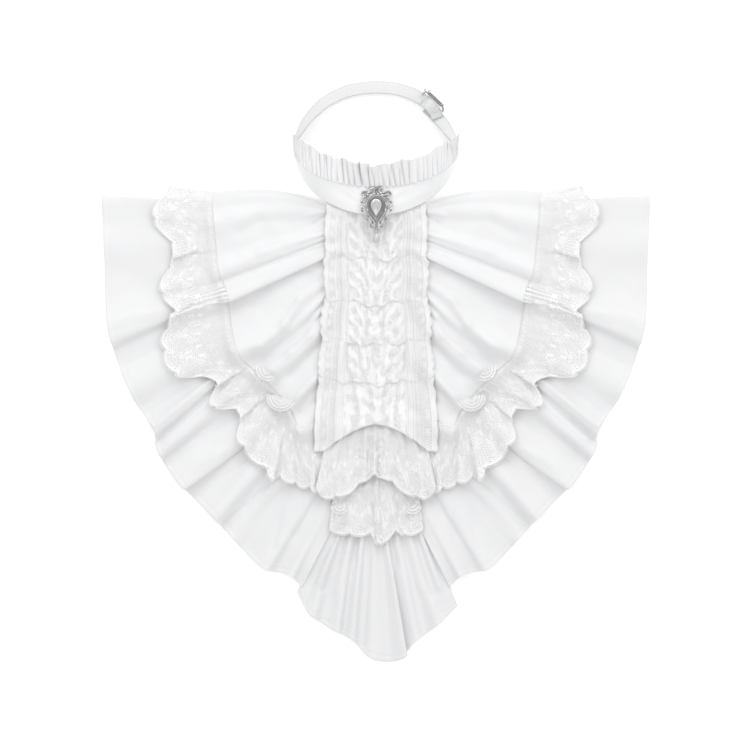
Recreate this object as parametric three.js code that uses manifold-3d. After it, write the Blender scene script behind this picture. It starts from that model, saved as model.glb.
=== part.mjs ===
// A costume jabot laid flat, face up, on a table: two tiers of satin flounce spread to both sides of a
// cascade of gathered lace flounces, a satin collar with a gathered frill that stands up round the neck
// opening, an adjustable neck strap, and a filigree brooch with a swinging drop pearl.
// Millimetres. X runs across the jabot, Y up towards the neck, Z up off the table, which is z = 0.
// The origin is on the table, under the middle of the whole outline.
import * as THREE from 'three';
import { mergeVertices } from 'three/addons/utils/BufferGeometryUtils.js';
import Module from 'manifold-3d';

const wasm = await Module();
wasm.setup();

// ---- driving dimensions -------------------------------------------------------------------------
const SATIN = 1.1; // wall of the satin with its lining
const LACE = 1.0; // wall of the lace
const GAP = 0.3; // between pieces that are sewn or laid together

// How far about a point a layer feels the pieces under it: stiff satin reaches further than soft lace.
const REACH = { lower: 9, upper: 11, edging: 9, cascade: 5 };

const STAY = { halfWidth: 27, top: 126, bottom: -108 }; // satin strip that carries every layer

const LOWER_SEAM_X = -27.3; // inner edge of the lower flounce, beside the stay
const UPPER_SEAM_X = -26; // inner edge of the upper flounce, on top of the lower one

const COLLAR = { halfWidth: 64.5, bandHeight: 22.4, frillHeight: 19, wall: 1.4, frillWall: 0.9 };
const COLLAR_SEAT = 5.4; // height of the gathered layers that the front of the collar is sewn on
const NECK_Y = 169; // middle of the neck opening
const STRAP = { width: 10, wall: 1.2 };

// ---- materials ----------------------------------------------------------------------------------
const finish = (color, roughness, metalness = 0) =>
  new THREE.MeshStandardMaterial({ color, roughness, metalness, side: THREE.DoubleSide });
const satinFinish = () => finish(0xf4f4f5, 0.42);
const laceFinish = () => finish(0xf7f7f6, 0.8);
const ribbonFinish = () => finish(0xeeeeef, 0.6);
const silverFinish = () => finish(0x8d8c88, 0.35, 0.95);
const pearlFinish = () => finish(0xf3efe8, 0.18);

const jabot = new THREE.Group();
function addPiece(name, geometry, material) {
  const piece = new THREE.Mesh(geometry, material);
  piece.name = name;
  jabot.add(piece);
  return piece;
}

// ---- cloth walls --------------------------------------------------------------------------------
// A closed body between two grids of points that face each other.
function wallBetween(outer, inner) {
  const rows = outer.length;
  const columns = outer[0].length;
  const sheet = rows * columns;
  const position = [...outer.flat(), ...inner.flat()].flatMap((p) => [p.x, p.y, p.z]);
  const index = [];
  for (let i = 0; i < rows - 1; i++) {
    for (let j = 0; j < columns - 1; j++) {
      const a = i * columns + j;
      const b = a + 1;
      const c = b + columns;
      const d = a + columns;
      index.push(a, b, c, a, c, d);
      index.push(sheet + a, sheet + c, sheet + b, sheet + a, sheet + d, sheet + c);
    }
  }
  const rim = [];
  for (let j = 0; j < columns - 1; j++) rim.push(j);
  for (let i = 0; i < rows - 1; i++) rim.push(i * columns + columns - 1);
  for (let j = columns - 1; j > 0; j--) rim.push((rows - 1) * columns + j);
  for (let i = rows - 1; i > 0; i--) rim.push(i * columns);
  rim.forEach((p, k) => {
    const q = rim[(k + 1) % rim.length];
    index.push(p, sheet + p, sheet + q, p, sheet + q, q);
  });
  const geometry = new THREE.BufferGeometry();
  geometry.setAttribute('position', new THREE.Float32BufferAttribute(position, 3));
  geometry.setIndex(index);
  return facingOut(geometry);
}

// Six times the volume is the sum of the triple products of the faces; a negative sum is inside out.
function facingOut(geometry) {
  const at = geometry.attributes.position;
  const index = geometry.index.array;
  const [a, b, c] = [new THREE.Vector3(), new THREE.Vector3(), new THREE.Vector3()];
  let volume = 0;
  for (let k = 0; k < index.length; k += 3) {
    a.fromBufferAttribute(at, index[k]);
    b.fromBufferAttribute(at, index[k + 1]);
    c.fromBufferAttribute(at, index[k + 2]);
    volume += a.dot(b.cross(c));
  }
  if (volume < 0) {
    for (let k = 0; k < index.length; k += 3) [index[k], index[k + 1]] = [index[k + 1], index[k]];
  }
  return geometry;
}

// The same piece on the other side of the jabot.
function mirrored(geometry) {
  const twin = geometry.clone();
  twin.scale(-1, 1, 1);
  return facingOut(twin);
}

// The height of the top of some pieces over a point of the table, 0 where there is none.
function reliefOf(geometries) {
  const faces = [];
  for (const geometry of geometries) {
    const at = geometry.attributes.position;
    const index = geometry.index.array;
    for (let k = 0; k < index.length; k += 3) {
      const [a, b, c] = [0, 1, 2].map((n) => new THREE.Vector3().fromBufferAttribute(at, index[k + n]));
      const area = (b.x - a.x) * (c.y - a.y) - (c.x - a.x) * (b.y - a.y);
      if (area > 1e-6) faces.push({ a, b, c, area });
    }
  }
  return (x, y) => {
    let top = 0;
    for (const { a, b, c, area } of faces) {
      const wa = ((b.x - x) * (c.y - y) - (c.x - x) * (b.y - y)) / area;
      const wb = ((c.x - x) * (a.y - y) - (a.x - x) * (c.y - y)) / area;
      const wc = 1 - wa - wb;
      if (wa > -1e-6 && wb > -1e-6 && wc > -1e-6) top = Math.max(top, wa * a.z + wb * b.z + wc * c.z);
    }
    return top;
  };
}

// What a layer comes down on: the highest that the pieces under it reach within `reach` of a point.
function bedOver(geometries, reach) {
  const relief = reliefOf(geometries);
  const tops = geometries.flatMap((geometry) => {
    const at = geometry.attributes.position;
    return Array.from({ length: at.count }, (_, k) => new THREE.Vector3().fromBufferAttribute(at, k));
  });
  return (x, y) => {
    let top = relief(x, y);
    for (let k = 0; k < 12; k++) {
      const turn = (k / 12) * 2 * Math.PI;
      const away = k % 2 ? reach : reach / 2;
      top = Math.max(top, relief(x + away * Math.cos(turn), y + away * Math.sin(turn)));
    }
    for (const p of tops) if (Math.hypot(p.x - x, p.y - y) < reach) top = Math.max(top, p.z);
    return top === 0 ? 0 : top + GAP;
  };
}

// Cloth under tension bridges hollows: a point that lies below the line between two neighbours rises.
function tauten(height, passes) {
  for (let pass = 0; pass < passes; pass++) {
    const before = height.map((row) => [...row]);
    before.forEach((row, i) =>
      row.forEach((z, j) => {
        const along = j > 0 && j < row.length - 1 ? (row[j - 1] + row[j + 1]) / 2 : z;
        const across = i > 0 && i < before.length - 1 ? (before[i - 1][j] + before[i + 1][j]) / 2 : z;
        height[i][j] = Math.max(z, along, across);
      }),
    );
  }
}

// A sheet laid on a bed: at(u, v) is its place on the table, lift(u, v) its height over what it lies on.
function laidCloth({ us, vs, at, lift, bed, wall, taut = 0 }) {
  const plan = us.map((u) => vs.map((v) => at(u, v)));
  const height = plan.map((row) => row.map((p) => bed(p.x, p.y)));
  tauten(height, taut);
  const under = plan.map((row, i) =>
    row.map((p, j) => new THREE.Vector3(p.x, p.y, height[i][j] + lift(us[i], vs[j]))),
  );
  const over = under.map((row) => row.map((p) => p.clone().add(new THREE.Vector3(0, 0, wall))));
  return wallBetween(over, under);
}

// A sheet in the air: point(u, v) is its middle surface, and the wall is laid off to both sides of it.
function standingCloth({ us, vs, point, wall }) {
  const step = 1e-3;
  const normal = (u, v) => {
    const alongU = point(u + step, v).sub(point(u - step, v));
    const alongV = point(u, v + step).sub(point(u, v - step));
    return alongU.cross(alongV).normalize();
  };
  const side = (half) =>
    us.map((u) => vs.map((v) => point(u, v).addScaledVector(normal(u, v), half * wall)));
  return wallBetween(side(0.5), side(-0.5));
}

const even = (count, from = 0, to = 1) =>
  Array.from({ length: count + 1 }, (_, k) => from + ((to - from) * k) / count);
const mix = THREE.MathUtils.lerp;

// ---- folds of a flounce -------------------------------------------------------------------------
// A flounce is sewn along a straight seam and fans out to its hem. Each row of its table is a fold:
// where its crest leaves the seam (seam, a y), where it meets the hem (x, y), how high it stands there
// (rise), how far the fold bows from the straight line (bow), and how soon the cloth is down on its bed
// again on the side of the next row (slope, a share of the way to that row).
function foldedFlounce({ folds, seamX, floor = 0.14 }) {
  const last = folds.length - 1;
  const hem = new THREE.SplineCurve(folds.map((f) => new THREE.Vector2(f.x, f.y)));
  const column = (name, u) => {
    const k = Math.min(Math.floor(u), last - 1);
    return mix(folds[k][name] ?? 0, folds[k + 1][name] ?? 0, u - k);
  };
  const us = [];
  for (let k = 0; k < last; k++) {
    const down = folds[k].slope ?? 0.4;
    us.push(k, k + down / 2, k + down, k + down + floor, k + (down + floor + 1) / 2);
  }
  us.push(last);
  const at = (u, v) => {
    const end = hem.getPoint(u / last);
    const start = new THREE.Vector2(seamX, column('seam', u));
    const across = end.clone().sub(start).normalize();
    const bow = column('bow', u) * Math.sin(Math.PI * v);
    const place = start.lerp(end, v);
    return place.add(new THREE.Vector2(across.y, -across.x).multiplyScalar(bow));
  };
  const profile = (u) => {
    const k = Math.min(Math.floor(u), last - 1);
    const t = u - k;
    const down = folds[k].slope ?? 0.4;
    const up = down + floor;
    if (t < down) return folds[k].rise * (0.5 + 0.5 * Math.cos((Math.PI * t) / down));
    if (t < up) return 0;
    return folds[k + 1].rise * (0.5 - 0.5 * Math.cos((Math.PI * (t - up)) / (1 - up)));
  };
  return { us, at, profile };
}

// ---- stay ---------------------------------------------------------------------------------------
const stay = laidCloth({
  us: even(2, -STAY.halfWidth, STAY.halfWidth),
  vs: even(6, STAY.bottom, STAY.top),
  at: (x, y) => new THREE.Vector2(x, y),
  lift: () => 0,
  bed: () => 0,
  wall: SATIN,
});
addPiece('centre_stay', stay, satinFinish());

// ---- tail ---------------------------------------------------------------------------------------
// The centre of the lower flounce, gathered at its top where it hangs from the end of the stay.
const TAIL_TOP_Y = STAY.bottom - GAP;
const TAIL_FOLDS = [
  { top: -33, x: -60, y: -168, rise: 0, slope: 0.5 },
  { top: -26, x: -50, y: -184.5, rise: 6, slope: 0.45 },
  { top: -17, x: -31, y: -197, rise: 5, slope: 0.4 },
  { top: -9, x: -19, y: -203, rise: 6, slope: 0.35 },
  { top: -2, x: -3, y: -218, rise: 4, slope: 0.6 },
  { top: 5, x: 17, y: -219, rise: 8, slope: 0.2 },
  { top: 13, x: 30, y: -205, rise: 5, slope: 0.4 },
  { top: 22, x: 46, y: -193, rise: 6, slope: 0.45 },
  { top: 33, x: 62, y: -178, rise: 0 },
];
function tailCloth() {
  const folds = foldedFlounce({ folds: TAIL_FOLDS, seamX: 0 });
  const last = TAIL_FOLDS.length - 1;
  const at = (u, v) => {
    const k = Math.min(Math.floor(u), last - 1);
    const topX = mix(TAIL_FOLDS[k].top, TAIL_FOLDS[k + 1].top, u - k);
    return new THREE.Vector2(topX, TAIL_TOP_Y).lerp(folds.at(u, 1), v);
  };
  const lift = (u, v) => folds.profile(u) * (0.3 + 0.7 * v);
  return laidCloth({ us: folds.us, vs: even(6), at, lift, bed: () => 0, wall: SATIN });
}
const tail = tailCloth();
addPiece('tail_flounce', tail, satinFinish());

// ---- lower flounce ------------------------------------------------------------------------------
const LOWER_FOLDS = [
  { seam: 126, x: -208.4, y: 133.2, rise: 0, slope: 0.4 },
  { seam: 112, x: -206.5, y: 92, rise: 2, slope: 0.4 },
  { seam: 96, x: -203, y: 31, rise: 7, slope: 0.3 },
  { seam: 83, x: -186.5, y: -16, rise: 5, slope: 0.4 },
  { seam: 68, x: -169.5, y: -43, rise: 7, slope: 0.45 },
  { seam: 54, x: -166, y: -60, rise: 7, slope: 0.4 },
  { seam: 24, x: -152, y: -82, rise: 9, slope: 0.3, bow: -9 },
  { seam: -8, x: -124.5, y: -109.5, rise: 8, slope: 0.5 },
  { seam: -33, x: -109.5, y: -126, rise: 6, slope: 0.4 },
  { seam: -58, x: -87, y: -148.5, rise: 7, slope: 0.4 },
  { seam: -84, x: -66, y: -154.5, rise: 7, slope: 0.45 },
  { seam: -107, x: -56, y: -164, rise: 2 },
];
const onTheTail = bedOver([tail, mirrored(tail)], REACH.lower);
function lowerFlounce() {
  const folds = foldedFlounce({ folds: LOWER_FOLDS, seamX: LOWER_SEAM_X });
  return laidCloth({
    us: folds.us,
    vs: even(7),
    at: folds.at,
    lift: (u, v) => folds.profile(u) * (0.12 + 0.88 * v * v),
    bed: onTheTail,
    wall: SATIN,
  });
}
const lowerLeft = lowerFlounce();
const lowerRight = mirrored(lowerLeft);
addPiece('lower_flounce_left', lowerLeft, satinFinish());
addPiece('lower_flounce_right', lowerRight, satinFinish());

// ---- upper flounce ------------------------------------------------------------------------------
const UPPER_FOLDS = [
  { seam: 122, x: -124, y: 136, rise: 0, slope: 0.4, bow: 8 },
  { seam: 117, x: -123, y: 113, rise: 3, slope: 0.4, bow: 4 },
  { seam: 108, x: -119, y: 76, rise: 4.5, slope: 0.5 },
  { seam: 91, x: -111.5, y: 54, rise: 9, slope: 0.16 },
  { seam: 74, x: -105, y: 16, rise: 7, slope: 0.4, bow: -7 },
  { seam: 57, x: -86.5, y: -4, rise: 6, slope: 0.4, bow: -6 },
  { seam: 18, x: -67, y: -25, rise: 6, slope: 0.35 },
  { seam: -14, x: -56, y: -39, rise: 1 },
];
const onTheLower = bedOver([stay, tail, lowerLeft], REACH.upper);
function upperFlounce() {
  const folds = foldedFlounce({ folds: UPPER_FOLDS, seamX: UPPER_SEAM_X });
  return laidCloth({
    us: folds.us,
    vs: even(5),
    at: folds.at,
    lift: (u, v) => folds.profile(u) * (0.35 + 0.65 * v),
    bed: onTheLower,
    wall: SATIN,
    taut: 3,
  });
}
const upperLeft = upperFlounce();
const upperRight = mirrored(upperLeft);
addPiece('upper_flounce_left', upperLeft, satinFinish());
addPiece('upper_flounce_right', upperRight, satinFinish());

// ---- lace edging --------------------------------------------------------------------------------
// Gathered on to the hem of the upper flounce. A row is a crest of its waves: where it leaves the hem
// (hemX, hemY), where its scalloped outer edge is (x, y), and how high the wave stands there.
const EDGING_WAVES = [
  { hemX: -124.6, hemY: 136, x: -155.8, y: 141, rise: 0, slope: 0.4 },
  { hemX: -123.8, hemY: 118, x: -170, y: 118, rise: 5, slope: 0.5 },
  { hemX: -121.6, hemY: 96, x: -154, y: 94, rise: 3, slope: 0.3 },
  { hemX: -119.6, hemY: 76, x: -164, y: 63, rise: 6, slope: 0.3 },
  { hemX: -113.5, hemY: 56, x: -157, y: 47, rise: 3, slope: 0.4 },
  { hemX: -115, hemY: 38, x: -162, y: 22, rise: 5, slope: 0.45 },
  { hemX: -106, hemY: 16, x: -153, y: -2, rise: 4, slope: 0.5 },
  { hemX: -96, hemY: 4, x: -126, y: -7, rise: 5, slope: 0.4 },
  { hemX: -87.5, hemY: -4.4, x: -124, y: -25, rise: 7, slope: 0.4 },
  { hemX: -79, hemY: -14.5, x: -104.5, y: -32, rise: 4, slope: 0.4 },
  { hemX: -73, hemY: -20.5, x: -104, y: -52, rise: 7, slope: 0.5 },
  { hemX: -68, hemY: -25.5, x: -83, y: -77, rise: 8, slope: 0.4 },
  { hemX: -62.5, hemY: -32, x: -66, y: -84, rise: 6, slope: 0.4 },
  { hemX: -56.7, hemY: -39.6, x: -50, y: -90, rise: 5, slope: 0.5 },
  { hemX: -40, hemY: -46, x: -34, y: -93, rise: 1 },
];
const onTheLowerTier = bedOver([stay, tail, lowerLeft], REACH.edging);
function laceEdging() {
  const folds = foldedFlounce({ folds: EDGING_WAVES, seamX: 0 });
  const hem = new THREE.SplineCurve(EDGING_WAVES.map((w) => new THREE.Vector2(w.hemX, w.hemY)));
  const last = EDGING_WAVES.length - 1;
  const at = (u, v) => {
    const start = hem.getPoint(u / last);
    const end = folds.at(u, 1);
    const clear = GAP / start.distanceTo(end);
    return start.lerp(end, clear + (1 - clear) * v);
  };
  return laidCloth({
    us: folds.us,
    vs: even(3),
    at,
    lift: (u, v) => 1 + folds.profile(u) * (0.25 + 0.75 * v),
    bed: onTheLowerTier,
    wall: LACE,
    taut: 2,
  });
}
const edgingLeft = laceEdging();
const edgingRight = mirrored(edgingLeft);
addPiece('lace_edging_left', edgingLeft, laceFinish());
addPiece('lace_edging_right', edgingRight, laceFinish());

// ---- lace cascade -------------------------------------------------------------------------------
// Seven gathered lace flounces down the centre, each sewn under the one above, and the first (with no
// top of its own) under the collar. A row is one of them: its sewn top and its free edge (y), half its
// width, how far the middle of the free edge is drawn up (arch), how far it stands off (puff), and its
// gathers across.
const CASCADE = [
  { name: 'cascade_1', top: null, free: 86, half: 38, arch: 0, puff: 1.5, gathers: 6 },
  { name: 'cascade_2', top: 93, free: 52, half: 38.5, arch: 0, puff: 3, gathers: 6 },
  { name: 'cascade_3', top: 59, free: 19, half: 39.5, arch: 0, puff: 3, gathers: 7 },
  { name: 'cascade_4', top: 27, free: -21, half: 42, arch: 0, puff: 3.5, gathers: 7 },
  { name: 'cascade_5', top: -12, free: -60, half: 46, arch: 24, puff: 5, gathers: 5 },
  { name: 'cascade_6', top: -43, free: -93, half: 40, arch: 12, puff: 5, gathers: 6 },
  { name: 'cascade_7', top: -72, free: -123, half: 36, arch: 0, puff: 5, gathers: 6 },
];
const LOWER_EDGE = { depth: 50, y: NECK_Y }; // lower edge of the collar band, a half ellipse
const TUCK = 2; // how far the first lace flounce goes in under it
const collarFoot = (x) =>
  LOWER_EDGE.y - LOWER_EDGE.depth * Math.sqrt(1 - (x / COLLAR.halfWidth) ** 2) + TUCK;
const laid = [stay, tail, lowerLeft, lowerRight, upperLeft, upperRight, edgingLeft, edgingRight];
function cascadeTier({ top, free, half, arch, puff, gathers }, under) {
  const at = (u, v) => {
    const x = u * half * (1 - 0.06 * (1 - v));
    const edge = free + arch * (1 - u * u);
    return new THREE.Vector2(x, mix(top ?? collarFoot(x), edge, v));
  };
  const layers = bedOver(under, REACH.cascade);
  const sewnIn = (x, y) => (top === null && y > collarFoot(x) - TUCK ? COLLAR_SEAT - GAP - LACE : 0);
  const bed = (x, y) => Math.max(layers(x, y), sewnIn(x, y));
  const lift = (u, v) => {
    const gather = 0.5 + 0.5 * Math.cos(gathers * Math.PI * u);
    return puff * Math.sin((Math.PI / 2) * v) * (0.35 + 0.65 * gather) * (1 - 0.4 * u * u);
  };
  const us = even(gathers * 4, -1, 1);
  return laidCloth({ us, vs: even(3), at, lift, bed, wall: LACE, taut: 2 });
}
[...CASCADE].reverse().forEach((tier) => {
  const cloth = cascadeTier(tier, laid);
  laid.push(cloth);
  addPiece(tier.name, cloth, laceFinish());
});

// ---- collar -------------------------------------------------------------------------------------
// The band stands on the layers in front and on the table at its sides, and leans back further the
// nearer it is to the front. Seen from above, its lower edge, its top seam and the edge of its frill
// are half ellipses that share their ends; an angle of 0 is the front and 90 degrees is an end.
const TOP_SEAM = { depth: 28.3, y: NECK_Y };
const FRILL_EDGE = { depth: 20.5, y: NECK_Y + 10 };
const FRILL_GATHERS = 32;
const FRILL_WAVE = { seam: 0.3, edge: 1.5 }; // height of the gathers at the seam and at the free edge
const SEAT_SPAN = 1.9; // above 1, the front keeps its full height further round
const rimPlace = (rim, angle) =>
  new THREE.Vector3(COLLAR.halfWidth * Math.sin(angle), rim.y - rim.depth * Math.cos(angle), 0);
const lowerEdge = (angle) => {
  const place = rimPlace(LOWER_EDGE, angle);
  const onTheLayers = Math.min(1, SEAT_SPAN * Math.cos(angle) ** 2);
  place.z = COLLAR.wall / 2 + COLLAR_SEAT * onTheLayers;
  return place;
};
// The next edge lies a fixed length of cloth further on, so it stands higher where the plan is narrow.
const edgeAfter = (from, rim, angle, length) => {
  const place = rimPlace(rim, angle);
  const level = Math.hypot(place.x - from.x, place.y - from.y);
  place.z = from.z + Math.sqrt(Math.max(0, length ** 2 - level ** 2));
  return place;
};
const topSeam = (angle) => edgeAfter(lowerEdge(angle), TOP_SEAM, angle, COLLAR.bandHeight);
const frillEdge = (angle) => edgeAfter(topSeam(angle), FRILL_EDGE, angle, COLLAR.frillHeight);

const bandPoint = (angle, v) => lowerEdge(angle).lerp(topSeam(angle), v);
addPiece(
  'collar_band',
  standingCloth({
    us: even(28, -Math.PI / 2, Math.PI / 2),
    vs: even(3),
    point: bandPoint,
    wall: COLLAR.wall,
  }),
  satinFinish(),
);

function frillPoint(angle, v) {
  const seam = topSeam(angle);
  const edge = frillEdge(angle);
  const up = edge.clone().sub(seam);
  const along = topSeam(angle + 0.01).sub(topSeam(angle - 0.01));
  const out = along.cross(up).normalize();
  const wave = Math.sin((angle / Math.PI + 0.5) * 2 * Math.PI * FRILL_GATHERS);
  const clear = GAP + COLLAR.wall / 2;
  const start = seam.addScaledVector(up.normalize(), clear);
  return start.lerp(edge, v).addScaledVector(out, wave * mix(FRILL_WAVE.seam, FRILL_WAVE.edge, v));
}
addPiece(
  'collar_frill',
  standingCloth({
    us: even(FRILL_GATHERS * 4, -Math.PI / 2, Math.PI / 2),
    vs: even(2),
    point: frillPoint,
    wall: COLLAR.frillWall,
  }),
  satinFinish(),
);

// ---- neck strap ---------------------------------------------------------------------------------
// A ribbon that goes round the back of the neck opening. A row is a place on its middle line, with its
// height and how far its face leans up from the table, in degrees. Its outer edge is the lower one.
const LONG_STRAP = [
  { x: -63.6, y: 169.6, z: 12, lean: 86 },
  { x: -61.5, y: 176, z: 10.5, lean: 74 },
  { x: -58, y: 182, z: 8.5, lean: 62 },
  { x: -52.5, y: 190.5, z: 6, lean: 48 },
  { x: -44.5, y: 199.5, z: 4.2, lean: 34 },
  { x: -34.5, y: 207, z: 3, lean: 25 },
  { x: -20, y: 213.3, z: 2.5, lean: 20 },
  { x: -3, y: 215.7, z: 2.5, lean: 20 },
  { x: 14, y: 214.8, z: 2.6, lean: 20 },
  { x: 27, y: 211, z: 3.2, lean: 20 },
  { x: 36, y: 206, z: 3.9, lean: 20 },
  { x: 40.5, y: 202.3, z: 7.6, lean: 20 },
  { x: 44.5, y: 198, z: 4.3, lean: 20 },
  { x: 47.5, y: 194.3, z: 4.7, lean: 22 },
];
const SHORT_STRAP = [
  { x: 63.6, y: 169.6, z: 12, lean: 86 },
  { x: 61, y: 174.5, z: 10, lean: 66 },
  { x: 57, y: 180.5, z: 7, lean: 46 },
  { x: 52.5, y: 187.5, z: 4, lean: 30 },
  { x: 47, y: 194.8, z: 2.9, lean: 21 },
  { x: 40.5, y: 202.3, z: 2.5, lean: 20 },
];
function ribbonFrame(rows, t) {
  const path = new THREE.CatmullRomCurve3(rows.map((r) => new THREE.Vector3(r.x, r.y, r.z)));
  const tangent = path.getTangent(t);
  const k = Math.min(Math.floor(t * (rows.length - 1)), rows.length - 2);
  const lean = THREE.MathUtils.degToRad(mix(rows[k].lean, rows[k + 1].lean, t * (rows.length - 1) - k));
  const inward = new THREE.Vector3(tangent.y, -tangent.x, 0).normalize();
  if (inward.dot(new THREE.Vector3(0, NECK_Y, 0).sub(path.getPoint(t))) < 0) inward.negate();
  const across = inward.multiplyScalar(Math.cos(lean)).add(new THREE.Vector3(0, 0, Math.sin(lean)));
  return { middle: path.getPoint(t), tangent, across };
}
function ribbon(rows, steps) {
  const point = (t, s) => {
    const { middle, across } = ribbonFrame(rows, THREE.MathUtils.clamp(t, 0, 1));
    return middle.addScaledVector(across, s * STRAP.width);
  };
  return standingCloth({ us: even(steps), vs: [-0.5, 0.5], point, wall: STRAP.wall });
}
addPiece('neck_strap', ribbon(LONG_STRAP, 39), ribbonFinish());
addPiece('adjuster_strap', ribbon(SHORT_STRAP, 15), ribbonFinish());

// ---- solids that are joined or cut --------------------------------------------------------------
function welded(geometry) {
  const bare = geometry.clone();
  bare.deleteAttribute('normal');
  bare.deleteAttribute('uv');
  return facingOut(mergeVertices(bare, 1e-4));
}
function solidOf(geometry) {
  const closed = welded(geometry);
  return new wasm.Manifold(new wasm.Mesh({
    numProp: 3,
    vertProperties: new Float32Array(closed.attributes.position.array),
    triVerts: new Uint32Array(closed.index.array),
  }));
}
function meshOf(solid) {
  const mesh = solid.getMesh();
  const geometry = new THREE.BufferGeometry();
  geometry.setAttribute('position', new THREE.BufferAttribute(new Float32Array(mesh.vertProperties), 3));
  geometry.setIndex(new THREE.BufferAttribute(new Uint32Array(mesh.triVerts), 1));
  return geometry;
}
const fused = (geometries) =>
  meshOf(geometries.map(solidOf).reduce((whole, piece) => whole.add(piece)));
const cut = (geometry, tools) =>
  meshOf(tools.map(solidOf).reduce((whole, tool) => whole.subtract(tool), solidOf(geometry)));

// ---- slider -------------------------------------------------------------------------------------
// A stamped metal adjuster: a frame with a middle bar. The long strap comes up through it, over the
// bar and down again.
const SLIDER = { length: 13.8, width: 14.2, rail: 1.3, bar: 1.4, thick: 1 };
const SLIDER_AT = 11 / (LONG_STRAP.length - 1);
function sliderPlate() {
  const { length, width, rail, bar, thick } = SLIDER;
  const corner = 1.5;
  const [x, y] = [length / 2, width / 2];
  const plate = new THREE.Shape();
  for (const [cx, cy, turn] of [[x, -y, 0], [x, y, 1], [-x, y, 2], [-x, -y, 3]]) {
    const start = (turn - 1) * (Math.PI / 2);
    const centre = { x: cx - Math.sign(cx) * corner, y: cy - Math.sign(cy) * corner };
    plate.absarc(centre.x, centre.y, corner, start, start + Math.PI / 2);
  }
  const blank = new THREE.ExtrudeGeometry(plate, { depth: thick, bevelEnabled: false, curveSegments: 3 });
  const slotLength = x - rail - bar / 2;
  const slots = [-1, 1].map((side) => {
    const slot = new THREE.BoxGeometry(slotLength, width - 2 * rail, 3 * thick);
    return slot.translate(side * (bar / 2 + slotLength / 2), 0, 0);
  });
  return cut(blank, slots);
}
const sliderSeat = ribbonFrame(LONG_STRAP, SLIDER_AT);
const slider = addPiece('strap_slider', sliderPlate(), silverFinish());
const sliderUp = sliderSeat.across.clone().cross(sliderSeat.tangent).normalize();
if (sliderUp.z < 0) sliderUp.negate();
const sliderAcross = sliderUp.clone().cross(sliderSeat.tangent).normalize();
const sliderAlong = sliderAcross.clone().cross(sliderUp);
slider.quaternion.setFromRotationMatrix(
  new THREE.Matrix4().makeBasis(sliderAlong, sliderAcross, sliderUp),
);
const sliderDrop = STRAP.wall / 2 + GAP + SLIDER.thick;
slider.position.copy(sliderSeat.middle).addScaledVector(sliderUp, -sliderDrop);

// ---- brooch -------------------------------------------------------------------------------------
// A cast silver kite of scrolls round a teardrop pearl, pinned through the front of the collar. Its
// crown lies on the band and its foot is propped up by the lace, so it slopes less than the band. In
// its own frame X is across, Y up and Z out of its face, with its back at z = 0.
const BROOCH = { crown: 15.6, crownY: 139.8, slopeShare: 0.42, plate: 0.9, wire: 0.75 };
const BEZEL = { rim: 1.7, height: 2.6 };
const PEARL = { halfWidth: 4.8, halfHeight: 7, thick: 4.2, x: -0.2, y: 0.6 };
const bandFoot = bandPoint(0, 0);
const bandTop = bandPoint(0, 1);
const bandSlope = Math.atan2(bandTop.z - bandFoot.z, bandTop.y - bandFoot.y);
const crownSeat = bandPoint(0, (BROOCH.crownY - bandFoot.y) / (bandTop.y - bandFoot.y));
const bandOut = new THREE.Vector3(0, -Math.sin(bandSlope), Math.cos(bandSlope));
crownSeat.addScaledVector(bandOut, COLLAR.wall / 2 + GAP);
const brooch = new THREE.Group();
brooch.rotation.x = BROOCH.slopeShare * bandSlope;
brooch.position.copy(crownSeat);
brooch.position.sub(new THREE.Vector3(-0.3, BROOCH.crown, 0).applyEuler(brooch.rotation));
jabot.add(brooch);
function addToBrooch(name, geometry, material) {
  const piece = new THREE.Mesh(geometry, material);
  piece.name = name;
  brooch.add(piece);
}

// Round at the top and pointed at the bottom. sin(t) sin(t/2) is at most this much, at its widest.
const TEARDROP_WIDEST = 0.77;
function teardrop(halfWidth, halfHeight, count) {
  return Array.from({ length: count }, (_, k) => {
    const t = (k / count) * 2 * Math.PI;
    const x = (halfWidth / TEARDROP_WIDEST) * Math.sin(t) * Math.sin(t / 2);
    return new THREE.Vector2(PEARL.x + x, PEARL.y - halfHeight * Math.cos(t));
  });
}
function ringPlate(outline, hole, depth) {
  const shape = new THREE.Shape(outline);
  shape.holes.push(new THREE.Path(hole));
  return new THREE.ExtrudeGeometry(shape, { depth, bevelEnabled: false });
}
function wire(points, radius, steps) {
  const sides = 5;
  const section = new THREE.Shape(
    Array.from({ length: sides }, (_, k) => {
      const turn = (k / sides) * 2 * Math.PI;
      return new THREE.Vector2(radius * Math.cos(turn), radius * Math.sin(turn));
    }),
  );
  const extrudePath = new THREE.CatmullRomCurve3(points);
  return new THREE.ExtrudeGeometry(section, { steps, extrudePath, bevelEnabled: false });
}
// The right half of the kite, from its top round to its foot; the left half is its mirror image.
const KITE = [[0, 12.2], [5.8, 11.4], [9.4, 7], [9.8, 1.5], [7, -4.5], [4, -10], [0, -14.6]];
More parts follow.
